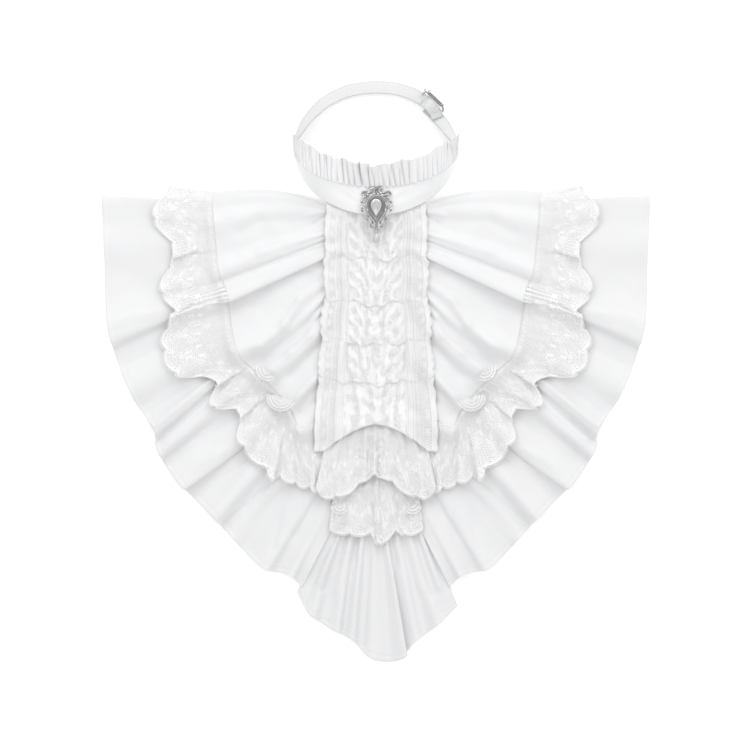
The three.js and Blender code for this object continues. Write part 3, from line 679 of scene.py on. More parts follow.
def arc(centre, radius, start, end, count):
    """Points (s, t) on an arc; angles in degrees from straight down the lace."""
    turns = np.radians(np.linspace(start, end, count))
    return np.stack(
        [centre[0] + radius * np.sin(turns), centre[1] + radius * np.cos(turns)], axis=-1
    )


def loop(s, t, length, width, turn, count=9):
    """A closed petal or leaf whose foot is at (s, t) and that points at turn degrees."""
    angles = np.linspace(0, 2 * math.pi, count)
    out = length / 2 * (1 - np.cos(angles))
    side = width / 2 * np.sin(angles) * np.sqrt(np.clip(out / length, 0, 1))
    a = math.radians(turn)
    return np.stack(
        [s + out * math.sin(a) + side * math.cos(a), t + out * math.cos(a) - side * math.sin(a)],
        axis=-1,
    )


def flower(s, t, size, turn=0):
    """Five petals round a dot."""
    petals = [
        (loop(s, t, size, size * 0.8, 72 * petal + turn, 7), 0.38) for petal in range(5)
    ]
    return petals + [(arc((s, t), size * 0.2, 0, 360, 5), 0.4)]


def scallop_cords(s, width):
    """The cords of one scallop whose middle is at s: (points on the flat lace, thickness)."""
    centre = (s, width - SCALLOP_RADIUS)
    cords = [
        (arc(centre, SCALLOP_RADIUS - 0.4, -36, 36, 12), 0.7),
        (arc(centre, SCALLOP_RADIUS - 3.0, -38, 38, 10), 0.45),
        (arc(centre, SCALLOP_RADIUS - 5.2, -42, 42, 9), 0.42),
    ]
    for turn in range(-32, 33, 8):
        bead = arc(centre, SCALLOP_RADIUS - 1.7, turn, turn, 1)[0]
        cords.append((arc(bead, 0.55, 0, 300, 4), 0.36))
        rim = arc(centre, SCALLOP_RADIUS + 0.2, turn + 4, turn + 4, 1)[0]
        cords.append((arc(rim, 0.9, turn - 90, turn + 90, 4), 0.34))
    foot = width - SCALLOP_RADIUS
    cords += flower(s, foot + 4.2, 3.6, 36)
    for side in (-1, 1):
        cords.append((loop(s + side * 2, foot, 6, 3.0, side * 150, 8), 0.4))
        cords.append((arc((s + side * 5, foot - 8), 3, side * 20, side * 200, 8), 0.4))
    cords += flower(s + LACE["scallop"] / 2, foot - 5, 3.6)
    cords += flower(s, foot - 16, 2.8, 20)
    for step in (-6.3, -2.1, 2.1, 6.3):
        cords.append((arc((s + step, foot + 8), 0.9, 0, 360, 6), 0.36))
    return cords


def bundle(name, strands, material, rings=0):
    """One piece made of many round strands; each is its points (mm) and its radius (mm)."""
    line = bpy.data.curves.new(name, "CURVE")
    line.dimensions = "3D"
    line.bevel_depth = MM
    line.bevel_resolution = rings
    line.use_fill_caps = True
    for spots, radius in strands:
        spline = line.splines.new("POLY")
        spline.points.add(len(spots) - 1)
        spline.points.foreach_set("co", np.c_[np.array(spots) * MM, np.ones(len(spots))].ravel())
        spline.points.foreach_set("radius", np.full(len(spots), radius))
    drawn = bpy.data.objects.new(name, line)
    bpy.context.scene.collection.objects.link(drawn)
    bpy.context.view_layer.update()
    mesh = bpy.data.meshes.new_from_object(
        drawn.evaluated_get(bpy.context.evaluated_depsgraph_get())
    )
    bpy.data.objects.remove(drawn)
    mesh.name = name
    mesh.shade_smooth()
    mesh.materials.clear()
    mesh.materials.append(material)
    piece = bpy.data.objects.new(name, mesh)
    bpy.context.scene.collection.objects.link(piece)
    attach(piece, "jabot")
    return piece


def couch(name, points, flat_at, paths, cord):
    """Cords couched down on a lace sheet: each path is points (s, t) and a radius."""
    rows, columns = points.shape[:2]
    across = np.gradient(points, axis=1)
    along = np.gradient(points, axis=0)
    normals = np.cross(across, along)
    normals /= np.linalg.norm(normals, axis=-1, keepdims=True) + 1e-12
    if outward_is_down(points):
        normals = -normals
    strands = []
    for path, radius in paths:
        u, v = flat_at(path[:, 0], path[:, 1])
        if u.min() < 0 or u.max() > 1 or v.min() < 0 or v.max() > 1.06:
            continue
        i = np.clip(u * (columns - 1), 0, columns - 1.001)
        j = np.clip(v * (rows - 1), 0, rows - 1.001)
        a, b = i.astype(int), j.astype(int)
        s, t = (i - a)[:, None], (v * (rows - 1) - b)[:, None]
        spots = 0
        for grid, lift in ((points, 1.0), (normals, LACE["wall"])):
            low = grid[b, a] * (1 - s) + grid[b, a + 1] * s
            high = grid[b + 1, a] * (1 - s) + grid[b + 1, a + 1] * s
            spots = spots + lift * (low * (1 - t) + high * t)
        strands.append((spots, radius))
    return bundle(name, strands, cord)


def lace(
    name, nodes, across, along, place, flat_at, cut, share, paths, side=1,
    finishes=EDGING_LACE,
):
    """A piece of lace: its net sheet and the cords worked on it. It returns the net."""
    net_finish, cord_finish = finishes
    net, points = cloth(f"{name}_net", across, along, place, cut, LACE["wall"], net_finish, side)
    u, v = np.meshgrid(np.linspace(0, 1, across + 1), np.linspace(0, 1, along + 1))
    worked = net.data.attributes.new("worked", "FLOAT", "POINT")
    worked.data.foreach_set("value", share(u, v).ravel())
    cords = couch(f"{name}_cord", points, flat_at, paths, cord_finish)
    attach(net, "jabot")
    if nodes:
        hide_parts(*nodes)
    cut[0] * MM
    cut[1] * MM
    return net


EDGING_WAVES = np.array([  # hem x, hem y, outer x, outer y, rise, slope, lap
    (-124.6, 136, -155.8, 141, 0, 0.4, 0),
    (-123.8, 118, -170, 118, 3, 0.5, 2),
    (-121.6, 96, -154, 92, 4, 0.2, 7),
    (-119.6, 76, -164, 63, 3, 0.3, 3),
    (-113.5, 56, -155, 45, 4, 0.2, 6),
    (-115, 38, -163, 22, 2.5, 0.45, 2),
    (-106, 16, -154, -2, 3, 0.5, 2),
    (-96, 4, -124, -6, 5, 0.25, 6),
    (-87.5, -4.4, -125, -26, 3, 0.4, 4),
    (-79, -14.5, -104.5, -31, 5, 0.3, 4),
    (-73, -20.5, -104, -54, 3.5, 0.5, 3),
    (-68, -25.5, -83, -77, 6, 0.3, 6),
    (-62.5, -32, -66, -84, 4, 0.4, 3),
    (-56.7, -39.6, -50, -90, 4, 0.5, 3),
    (-38, -34, -34, -93, 1, 0.4, 0),
], float)
EDGING_LENGTH = 20 * LACE["scallop"]
SEWN_TO = np.array([  # the point of the satin's hem that each crest is sewn to
    np.argmin(np.hypot(upper_hem[:, 0] - x, upper_hem[:, 1] - y)) for x, y in EDGING_WAVES[:, :2]
], float)


def edging_flat(u, v):
    s = u * EDGING_LENGTH
    return s, v * (LACE["width"] + scallop_edge(s))


def edging_place(u, v):
    hem_x, hem_y, out_x, out_y, rise, slope, lap = EDGING_WAVES.T
    w = u * (len(EDGING_WAVES) - 1)
    s, t = edging_flat(u, v)
    reach = t / LACE["width"]
    at = np.clip(smooth_line(SEWN_TO, w), 0, len(upper_hem) - 1)
    start_x, start_y, start_z = (
        np.interp(at, np.arange(len(upper_hem)), column) for column in upper_hem.T
    )
    free = np.clip(w - (len(EDGING_WAVES) - 2), 0, 1)
    start_x = start_x + (smooth_line(hem_x, w) - start_x) * free
    start_y = start_y + (smooth_line(hem_y, w) - start_y) * free
    x = start_x + (smooth_line(out_x, w) - start_x) * reach
    y = start_y + (smooth_line(out_y, w) - start_y) * reach
    profile = fold_profile(rise, slope, w)
    next_x, next_y = toward_next(x, y)
    lean = smooth_line(lap, w) * profile / 5 * reach**1.5
    ruffle = 0.45 * np.sin(s * 0.8 + 1.4 * np.sin(s * 0.091)) * np.exp(-reach * 3)
    ruffle = ruffle + 0.3 * np.sin(s * 0.3 + 2 * np.sin(s * 0.05)) * reach
    z = edging_bed(x, y) + profile * reach + ruffle + 1.0
    z = z + uneven(x, y, 31, 14, 0.35) + uneven(x, y, 32, 5, 0.2)
    sewn = np.exp(-((reach * 7) ** 2))
    z = z * (1 - sewn) + (start_z + 0.5) * sewn
    return x + lean * next_x, y + lean * next_y, np.maximum(z, 0.8)


edging_bed = bed_for(5, 2)
edging_paths = []
for middle in np.arange(0, EDGING_LENGTH + 1, LACE["scallop"]):
    edging_paths += scallop_cords(middle, LACE["width"])
for spot in np.arange(1.5, EDGING_LENGTH, 3.4):
    edging_paths.append((arc((spot, 3), 1.0, 0, 360, 6), 0.28))
for side, hand in HANDS:
    edging = lace(
        f"lace_edging_{hand}", [f"lace_edging_{hand}"], 320, 30, edging_place,
        lambda s, t: (s / EDGING_LENGTH, t / (LACE["width"] + scallop_edge(s))),
        (EDGING_LENGTH, LACE["width"]),
        lambda u, v: worked_share(*edging_flat(u, v), LACE["width"]),
        edging_paths, side,
    )
    lay_down(edging)

SHELL = {"pitch": 2.7, "inner": 1.6, "rib": 0.4, "foot": 0.12}


def lace_shell(name, x, y, radius, start, end, lift, side=1):
    """A curled end of lace that shows as a fan of close arcs; its angles are from straight down."""
    shell_bed = bed_for(3, 1)
    length = math.radians(end - start) * radius
    around = np.linspace(0.3, length - 0.3, 14)
    arcs = np.arange(radius - 0.1, SHELL["inner"], -SHELL["pitch"])
    paths = [(np.stack([around, np.full(len(around), t)], -1), 0.36) for t in arcs]
    for spot in np.arange(1, length - 1, 1.9):
        paths.append((arc((spot, radius - 1), 0.8, -90, 90, 4), 0.26))

    def shell_place(u, v):
        turn = np.radians(start + (end - start) * u)
        out = radius * (SHELL["foot"] + (1 - SHELL["foot"]) * v)
        around_x, around_y = x + out * np.sin(turn), y - out * np.cos(turn)
        cup = lift * np.sin(np.pi * (0.15 + 0.7 * v)) + 0.4 * np.sin(u * 17) * v
        ribs = np.cos(2 * np.pi * (1 - v) * radius / SHELL["pitch"])
        cup = cup + SHELL["rib"] * ribs * np.minimum(1, 3 * v)
        return around_x, around_y, shell_bed(side * around_x, around_y) + 0.9 + cup

    lace(
        name, [], 32, 30, shell_place, lambda s, t: (s / length, t / radius),
        (length, max(radius, 10.1)),
        lambda u, v: 0.5 + 0.5 * np.cos(2 * math.pi * (v * radius - SHELL["inner"]) / 1.5), paths,
        side,
    )


for side, hand in HANDS:
    lace_shell(f"lace_curl_top_{hand}", -82, 1.5, 8.5, -110, 40, 1.6, side)
    lace_shell(f"lace_curl_low_{hand}", -72, -19, 11, -100, 70, 2.0, side)

# ---- lace cascade -------------------------------------------------------------------------------
# A long galloon of the same lace, caught up in swags down the centre, with two gathered flounces
# below it. Its head goes in under the collar.
SWAGS = np.array([  # side y, sag, sag reach, half width, lap, puff
    (118, 0, 30, 37.5, 0, 1),
    (89, 3.5, 26, 38.6, 4, 1.5),
    (55, 4, 27, 38.8, 5, 1.9),
    (24, 3, 30, 41.6, 5, 2.0),
    (-5, 4, 34, 43.5, 5, 2.1),
    (-60, -21, 40, 47.5, 4, 1.6),
], float)
GALLOON = {"width": 92, "length": 236, "edge_pitch": 8.4, "edge_depth": 1.8}
BORDER = {"beads": 27, "ladder": (33, 36), "sprigs": 39.5, "rim": 44}  # out from the middle
BORDER_CORDS = ((24.5, 0.45), (30, 0.36), (33, 0.36), (36, 0.36), (42.6, 0.5))  # out, radius


def swag_edge(k, x):
    """Where the lower edge of a swag runs."""
    side_y, sag, reach = SWAGS[k, 0], SWAGS[k, 1], SWAGS[k, 2]
    waver = (0 < k) * (k < 5) * (1.3 * np.sin(x / 4.6 + 2.6 * k) + 0.8 * np.sin(x / 2.1 + k))
    return side_y - sag * np.clip(1 - (np.abs(x) / reach) ** 1.6, 0, 1) + waver


def galloon_place(u, v):
    """Each swag falls from under the one above, turns under at its lower edge and goes back up."""
    w = v * (len(SWAGS) - 1)
    k = np.clip(np.floor(w).astype(int), 0, len(SWAGS) - 2)
    t = w - k
    c = 2 * u - 1
    fall, turn_under = 0.72, 0.86
    down = np.clip(t / fall, 0, 1)
    half = SWAGS[k, 3] + (SWAGS[k + 1, 3] - SWAGS[k, 3]) * down + 1.8 * np.sin(np.pi * down)
    scallops = np.abs(np.sin(np.pi * v * GALLOON["length"] / GALLOON["edge_pitch"]))
    bumps = GALLOON["edge_depth"] * scallops * (0.85 + 0.45 * np.sin(23 * v + 3 * c))
    x = c * (half - 1.4) + np.sign(c) * bumps * np.abs(c) ** 14
    x = x + 1.1 * np.sin(9 * v + 4 * c) * (1 - c**2)
    middle = np.exp(-((x / 30) ** 4))
    lap = SWAGS[k, 4] * (0.15 + 0.85 * middle)
    next_lap = SWAGS[k + 1, 4] * (0.15 + 0.85 * middle)
    top = np.where(k == 0, collar_foot(x) + 1, swag_edge(k, x) + lap)
    bottom = swag_edge(k + 1, x)
    radius = 0.2 + 0.5 * middle
    turn = np.clip((t - fall) / (turn_under - fall), 0, 1) * math.pi
    back = np.clip((t - turn_under) / (1 - turn_under), 0, 1)
    last = k == len(SWAGS) - 2
    y = top + (bottom - top) * down - radius * np.sin(turn) + next_lap * back * ~last
    puff = SWAGS[k + 1, 5] * (0.25 + 0.75 * middle * (0.75 + 0.25 * np.sin(x / 6 + 2 * k)))
    z = puff * np.sin(np.pi / 2 * down) - radius * (1 - np.cos(turn)) - puff * back * 0.9
    z = z + 0.4 * middle * np.sin(down * 15 + 2.2 * np.sin(x / 8 + k)) * np.sin(np.pi * down)
    ruched = uneven(x, y, 41, 7, 0.3) + uneven(x, y, 43, 3.6, 0.26)
    z = z + galloon_bed(x, y) + 1.0 + 0.6 * middle + middle * ruched
    z = z + uneven(x, y, 42, 15, 0.4)
    return x, y, under_collar(x, y, np.maximum(z, 1))


def galloon_paths():
    width, length = GALLOON["width"], GALLOON["length"]
    paths = []
    for side in (-1, 1):
        for out, radius in BORDER_CORDS:
            line = np.linspace(1, length - 1, 180)
            paths.append((np.stack([width / 2 + side * out + 0 * line, line], -1), radius))
        for spot in np.arange(2, length - 2, 2.5):
            bead = (width / 2 + side * BORDER["beads"], spot)
            paths.append((arc(bead, 1.15, 0, 360, 6), 0.5))
            rung = [(width / 2 + side * out, spot) for out in BORDER["ladder"]]
            paths.append((np.array(rung), 0.34))
            rim = (width / 2 + side * (BORDER["rim"] + 0.4), spot)
            paths.append((arc(rim, 0.9, 0, 360, 6), 0.36))
        for spot in np.arange(5, length - 5, GALLOON["edge_pitch"]):
            paths += flower(width / 2 + side * BORDER["sprigs"], spot, 2.6, 20)
    scatter = np.random.default_rng(8)
    for row, spot in enumerate(np.arange(5, length - 6, 7)):
        for column in (-16, -5.5, 5.5, 16) if row % 2 else (-20, -10.5, 0, 10.5, 20):
            s = width / 2 + column + scatter.uniform(-2, 2)
            t = spot + scatter.uniform(-1.5, 1.5)
            if scatter.random() < 0.45:
                paths += flower(s, t, scatter.uniform(2.2, 3.8), 31 * row)
            else:
                turn = scatter.uniform(0, 360)
                paths.append((arc((s, t), scatter.uniform(2, 4), turn, turn + 160, 8), 0.4))
                paths.append((loop(s, t, 4.5, 2, turn, 7), 0.36))
    return paths


def galloon_share(u, v):
    s, t = np.abs(2 * u - 1) * GALLOON["width"] / 2, v * GALLOON["length"]
    beads = np.exp(-(((s - BORDER["beads"]) / 1.8) ** 2))
    beads = beads + np.exp(-(((s - BORDER["rim"]) / 1.6) ** 2))
    leaves = uneven(s, t, 44, 7, 1.0) + 0.3
    return np.clip(beads * 0.8 + (s < 24) * leaves + 0.2, 0, 1)


def fan_place(rows, top_y, height, bed_at, seed, lumps, reach_at):
    """A gathered flounce whose folds fan out from a straight top to its hem."""
    def place(u, v):
        top, hem_x, hem_y, rise, slope, lap = rows.T
        w = u * (len(rows) - 1)
        reach = reach_at(u, v)
        x = smooth_line(top, w) * (1 - reach) + smooth_line(hem_x, w) * reach
        y = top_y * (1 - reach) + smooth_line(hem_y, w) * reach
        profile = fold_profile(rise, slope, w)
        next_x, next_y = toward_next(x, y)
        lean = smooth_line(lap, w) * profile / 6 * reach
        z = bed_at(x, y) + profile * (0.3 + 0.7 * reach) + height
        z = z + uneven(x, y, seed, 8, 0.45) + uneven(x, y, seed + 1, 3.8, 0.4)
        z = z + creases(x, y, lumps)
        return x + lean * next_x, y + lean * next_y, np.maximum(z, 1)

    return place


FLOUNCES = {  # name: top y, cut width in scallops, depth, seed, lumps, folds
    "cascade_7": (-72, 6, 53, 58, ((-7, -89, -2, -91, 5, 1.8),), np.array([
        # top x, hem x, hem y, rise, slope, lap
        (-30, -35.8, -121, 0.5, 0.4, 0),
        (-20, -20, -125, 2.5, 0.5, 1),
        (-8, -4, -124.5, 2, 0.5, 1),
        (0, 1.5, -133, 3.5, 0.3, 2),
        (8, 15, -122.5, 2.5, 0.4, 2),
        (20, 22, -125, 2.5, 0.5, 0),
        (30, 36, -121, 0.5, 0.4, 0),
    ], float)),
    "cascade_6": (-34, 6, 58, 60, ((-8, -46, -1, -48, 6, 2),), np.array([
        (-34, -46, -90, 1, 0.4, 0),
        (-26, -36, -97, 4, 0.35, 3),
        (-18, -22, -93, 2.5, 0.5, 1),
        (-8, -10, -84, 4, 0.4, 2),
        (-1, -2, -80, 5, 0.3, 3),
        (8, 8, -82, 3, 0.5, 1),
        (18, 22, -92, 3.5, 0.4, 2),
        (26, 36, -97, 4, 0.4, 1),
        (34, 46, -90, 1, 0.4, 0),
    ], float)),
}
for name, (top_y, scallops, depth, seed, lumps, folds) in FLOUNCES.items():
    cut_width = scallops * LACE["scallop"]
    half_step = LACE["scallop"] / 2

    def depth_at(s):
        return depth + scallop_edge(s + half_step)

    paths = []
    for middle in np.arange(half_step, cut_width, LACE["scallop"]):
        paths += scallop_cords(middle, depth)
    for edge in (3.2, cut_width - 3.2):
        for spot in np.arange(2, depth - 8, 2.6):
            paths.append((arc((edge, spot), 1.1, 0, 360, 6), 0.32))
        for side in (-2.2, 2.2):
            line = np.linspace(1, depth - 9, 14)
            paths.append((np.stack([edge + side + 0 * line, line], -1), 0.3))
    flounce = lace(
        name, [name], scallops * 16, 38,
        fan_place(
            folds, top_y, 1.5, bed_for(3.5, 2), seed, lumps,
            lambda u, v: v * depth_at(u * cut_width) / depth,
        ),
        lambda s, t: (s / cut_width, t / depth_at(s)), (cut_width, depth),
        lambda u, v: worked_share(
            u * cut_width + half_step, v * depth_at(u * cut_width), depth
        ),
        paths,
    )
    lay_down(flounce)
    if name == "cascade_7":
        for side, hand in HANDS:
            lace_shell(f"lace_fan_{hand}", -27.5, -101, 7, -80, 60, 0.8, side)

galloon_bed = bed_for(3.5, 2)
# The galloon's net and cord are darker copies of the edging's lace: painted shade that tones down
# the raised swags, which catch more light.
SHADED_GALLOON_LACE = finish("galloon net painted darker", lace_surface(0.925)), finish("galloon cord painted darker", cord_surface(0.94))
galloon = lace(
    "cascade_galloon", [f"cascade_{number}" for number in range(1, 6)], 96, 170, galloon_place,
    lambda s, t: (s / GALLOON["width"], t / GALLOON["length"]),
    (GALLOON["width"], GALLOON["length"]), galloon_share, galloon_paths(),
    finishes=SHADED_GALLOON_LACE,
)
lay_down(galloon)

# ---- collar -------------------------------------------------------------------------------------
# A stiffened satin band that stands up round the neck opening, with a gathered frill along its top
# seam. Its front lies back on the layers, and its ends stand on the table.
BAND_TOP = {"depth": 28.3, "y": 169, "power": 1}
FRILL_TOP = {"depth": 20.5, "y": 179, "power": 2.2}
FRILL_GATHERS = 44


def rim_place(rim, angle):
    back = rim["depth"] * np.abs(np.cos(angle)) ** rim["power"]
    return COLLAR["half_width"] * np.sin(angle), rim["y"] - back


def rim_after(start, rim, angle, length):
    """The next edge lies a fixed length of cloth further on, so it stands up where it must."""
    x, y = rim_place(rim, angle)
    level = (x - start[0]) ** 2 + (y - start[1]) ** 2
    return x, y, start[2] + np.sqrt(np.maximum(0, length**2 - level))


def band_edges(angle):
    x, y = rim_place({"depth": COLLAR["depth"], "y": COLLAR["neck_y"], "power": 1}, angle)
    foot = (x, y, 0.7 + COLLAR["seat"] * np.minimum(1, 1.9 * np.cos(angle) ** 2))
    return foot, rim_after(foot, BAND_TOP, angle, COLLAR["band"])


BAND_CREASES = (
    (13, 134, 24, 140, 1.6, 0.9),
    (-14, 128, -34, 140, 2, -0.6),
    (15, 126, 40, 138, 2.2, 0.7),
)


def band_place(u, v):
    angle = (u - 0.5) * math.pi
    foot, top = band_edges(angle)
    x, y, z = (a + (b - a) * v for a, b in zip(foot, top))
    up = v * COLLAR["band"]
    out = 0.8 * np.sin(np.pi * v) + 0.3 * np.sin(angle * 9 + 2 * v) * np.sin(np.pi * v)
    out = out + uneven(x, y, 61, 12, 0.35) * np.sin(np.pi * v)
    for from_edge in (COLLAR["band"] - up, up):
        out = out - 0.3 * np.exp(-(((from_edge - 2) / 0.7) ** 2))
    out = out + creases(x, y, BAND_CREASES)
    return (
        x + out * np.sin(angle) * 0.7,
        y - out * 0.3 * np.cos(angle),
        z + out * 0.7 * np.cos(angle),
    )


# The band's satin is a lighter copy of the white satin: painted light that makes up for the band
# tilting away from the lamps.
band_satin_lit = finish("band satin painted lighter", satin_surface(0.93))
band, _ = cloth(
    "collar_band_satin", 168, 26, band_place, (185, COLLAR["band"]), 1.1, band_satin_lit, offset=0
)
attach(band, "jabot")
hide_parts("collar_band")


def frill_place(u, v):
    """Fine gathers at the seam merge into half as many broad waves at the edge."""
    angle = (u - 0.5) * math.pi
    seam = band_edges(angle)[1]
    edge = rim_after(seam, FRILL_TOP, angle, COLLAR["frill"])
    up = [(b - a) / COLLAR["frill"] for a, b in zip(seam, edge)]
    phase = u * 2 * math.pi * FRILL_GATHERS + 2.2 * np.sin(u * 23) + 1.2 * np.sin(u * 61 + 1)
    merged = u * math.pi * FRILL_GATHERS + 1.4 * np.sin(u * 23) + 1.3 * np.sin(u * 41)
    slant = 1.6 * v + 1.2 * v * np.sin(u * 13 + 1)
    fine = 2 * np.abs(np.cos(phase / 2 + slant)) ** 0.8 - 1
    broad = 2 * np.abs(np.cos(merged / 2 + 0.5 * slant)) - 1
    wave = fine * (1.3 - 0.6 * v) + broad * 2.6 * v**1.1 * (0.8 + 0.3 * np.sin(u * 29 + 1))
    calm = 1 - 0.75 * np.exp(-(((u - 0.515) / 0.022) ** 2))
    calm = calm * np.clip(0.25 + 2.5 * np.cos(angle), 0, 1)
    wave = wave * calm
    ragged = 1 + 0.05 * np.sin(u * 31 + 2) + 0.05 * broad * calm + 0.05 * np.sin(u * 83 + 2) * calm
    height = -0.8 + v * (COLLAR["frill"] - 0.8) * (1 + (ragged - 1) * v)
    sway = 1.1 * np.sin(merged + 1.2) * v + 0.3 * np.sin(phase + 1.1)
    x, y, z = (a + b * height for a, b in zip(seam, up))
    lean = np.cos(angle)
    x = x + wave * np.sin(angle) * 0.6 + sway * lean
    y = y - wave * lean * 0.6
    return x, y, z + 0.5 + wave * (lean * 0.8 + 0.2)


frill, _ = cloth("collar_frill_satin", 616, 24, frill_place, (270, 19), 0.5, satin, offset=0)
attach(frill, "jabot")
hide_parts("collar_frill")

# ---- neck strap ---------------------------------------------------------------------------------
# A white ribbed ribbon round the back of the neck opening. The long end goes up through a slider,
# over its bar and down again on top of the short end.
STRAP = {"width": 10, "wall": 1.0, "rib": 1.1}
LONG_STRAP = np.array([  # x, y, z, lean
    (-61.6, 169.6, 12, 86), (-60.4, 176, 10.5, 74), (-57.5, 182, 8.5, 62), (-52.5, 190.5, 6, 48),
    (-44.5, 199.5, 4.2, 34), (-34.5, 207, 3, 25), (-20, 213.3, 2.5, 20), (-3, 215.7, 2.5, 20),
    (14, 214.8, 2.6, 20), (27, 211, 3.2, 20), (36, 206, 3.9, 20), (40.5, 202.3, 7.6, 20),
    (44.5, 197, 4.9, 20), (46.5, 192.3, 5.2, 22),
], float)
SHORT_STRAP = np.array([  # x, y, z, lean
    (61.6, 169.6, 12, 86), (59.6, 174.5, 10, 66), (56, 180.5, 7, 46), (51.5, 187.5, 4, 30),
    (45.5, 194, 2.9, 21), (38.5, 200.8, 2.5, 20),
], float)


def shaded_ribbon_surface(shade):
    cut = shade.cut()
    along = shade.node("ShaderNodeSeparateXYZ", {}, {"Vector": cut})
    rib = shade.math("SINE", along * (2 * math.pi / (STRAP["rib"] * MM))) * 0.5 + 0.5
    across = along.output(1) * (1 / (STRAP["width"] * MM))
    selvedge = shade.math("ABSOLUTE", across - 0.5) * 2
    edge = ((selvedge - 0.78) * 8).limited()
    fuzz = shade.noise(900.0, cut)
    return {
        # The ribbon is white: its grey tone is painted shade that darkens the strap where it faces
        # the far lamp.
        "Base Color": (rib * 0.45 + fuzz * 0.35 - edge * 0.5 + 0.2).tint(
            (0.66, 0.665, 0.675), (0.76, 0.76, 0.765)
        ),
        "Roughness": 0.65,
        "Sheen Weight": 0.2,
        "relief": (rib + fuzz * 0.3 + edge, 0.00015),
    }


ribbon = finish("white ribbed ribbon painted grey", shaded_ribbon_surface)


def strap_place(rows):
    def place(u, v):
        w = u * (len(rows) - 1)
        x, y, z, lean = (smooth_line(column, w) for column in rows.T)
        dx, dy = np.gradient(x, axis=1), np.gradient(y, axis=1)
        length = np.hypot(dx, dy)
        in_x, in_y = dy / length, -dx / length
        inward = np.sign(-x * in_x + (COLLAR["neck_y"] - y) * in_y)
        tip = np.radians(lean)
        across = (v - 0.5) * STRAP["width"]
        swell = 0.25 * np.cos(np.pi * (v - 0.5)) + 0.2 * np.sin(u * 23) * np.cos(np.pi * (v - 0.5))
        return (
            x + across * np.cos(tip) * in_x * inward,
            y + across * np.cos(tip) * in_y * inward,
            z + across * np.sin(tip) + swell,
        )

    return place


for name, node, rows, length in (
    ("neck_strap_ribbon", "neck_strap", LONG_STRAP, 145),
    ("adjuster_strap_ribbon", "adjuster_strap", SHORT_STRAP, 42),
):
    piece, _ = cloth(
        name, length, 10, strap_place(rows), (length, STRAP["width"]), STRAP["wall"], ribbon,
        offset=0,
    )
    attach(piece, "jabot")
    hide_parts(node)


# ---- strap slider -------------------------------------------------------------------------------
# A cast adjuster with a middle bar, in antiqued silver tone like the brooch: a broad rail with a
# row of rings along the outside of the strap, and thin bars that the ribbon goes over and under.
def silver_surface(dark, light, reach):
    def surface(shade):
        tarnish = shade.noise(420.0, shade.place(), 4.0)
        hollow = shade.node(
            "ShaderNodeAmbientOcclusion", {"samples": 8}, {"Distance": reach}, out=1
        )
        bright = ((hollow - 0.22) * 2.0).limited() * (tarnish * 0.7 + 0.6)
        return {
            "Base Color": bright.tint((dark, dark, dark * 1.05), (light, light, light)),
            "Metallic": bright * 0.3 + 0.7,
            "Roughness": tarnish * 0.3 + 0.18,
            "relief": (tarnish, 0.0002),
        }

    return surface


silver = finish("antiqued silver tone", silver_surface(0.08, 0.85, 0.0009))
blackened = finish("blackened silver tone", silver_surface(0.04, 0.4, 0.002))
SLIDER_SEAT = {"middle": (40.5, 202.3, 6.9), "along": (0.728, -0.685), "out": (0.685, 0.728)}


def beside_strap(points):
    """Places (along the strap, outwards from its middle, up) on the table."""
    (x, y, z), along, out = (SLIDER_SEAT[key] for key in ("middle", "along", "out"))
    tip = math.tan(math.radians(20))
    return [
        (x + a * along[0] + o * out[0], y + a * along[1] + o * out[1], z + h - o * tip * 0.6)
        for a, o, h in points
    ]


strands = [
    ([(-9, 1.6, 0), (-9.3, 3.6, 0), (-8.6, 5.4, 0), (-6.6, 6.4, 0), (-3, 6.8, 0), (1, 6.8, 0),
      (5, 6.6, 0), (8, 6, 0), (10, 4.8, 0), (10.8, 3.2, 0)], 0.75),
    ([(-9.6, 5.2, 0.2), (-10.6, 6.2, 0.2), (-10.2, 7.2, 0.2)], 0.45),
    ([(-7.4, 6.6, 0.2), (-7.6, 7.9, 0.2), (-6.6, 8.4, 0.2)], 0.45),
    ([(-7, 5.3, 0.1), (0, 5.6, 0.1), (7, 5.2, 0.1)], 0.4),
]
bars = [
    ([(-6.2, 6.4, 0), (-6.3, 0, 0.3), (-6.3, -3.4, -1.6)], 0.34),
    ([(-0.3, 6.6, 0), (-0.3, 0, -0.6), (-0.3, -3.5, -1.8)], 0.4),
    ([(6.2, 6.4, 0), (6.2, 0, 0.3), (6.2, -3.4, -1.6)], 0.34),
    ([(-6.3, -3.4, -1.6), (0, -3.5, -1.8), (6.2, -3.4, -1.6)], 0.34),
]
for spot in np.arange(-5.6, 7.5, 1.6):
    turns = np.linspace(0, 2 * math.pi, 9)
    eye = [(spot + 0.75 * math.cos(t), 6.6 + 0.9 * math.sin(t), 0.9) for t in turns]
    strands.append((eye, 0.3))
slider = bundle(
    "strap_slider_frame", [(beside_strap(points), radius) for points, radius in strands],
    blackened, rings=1,
)
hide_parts("strap_slider")
bundle(
    "strap_slider_bars", [(beside_strap(points), radius) for points, radius in bars],
    silver, rings=1,
)


def refinish(node, material):
    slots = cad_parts[node].data.materials
    slots.clear()
    slots.append(material)


# ---- brooch -------------------------------------------------------------------------------------
# A pierced plate of blackened silver tone with a bezel for the pearl. On it are soldered scrolls,
# leaves and a beaded wire of brighter silver, and a ring at its foot carries the drop.
refinish("brooch_frame", blackened)
refinish("drop_link", silver)
BROOCH = {"middle": (0.3, 124.04, 10.755), "tip": math.radians(6.032)}


def on_brooch(points):
    """Places (right, up the brooch, out of it) on the table."""
    x, y, z = BROOCH["middle"]
    turn, rise = math.cos(BROOCH["tip"]), math.sin(BROOCH["tip"])
    return [(x + a, y + b * turn - c * rise, z + b * rise + c * turn) for a, b, c in points]


def curved(points, steps=5):
    """A smooth line through a few points."""
    rows = np.array(points, float)
    w = np.linspace(0, len(rows) - 1, (len(rows) - 1) * steps + 1)
    return np.stack([smooth_line(column, w) for column in rows.T], -1)


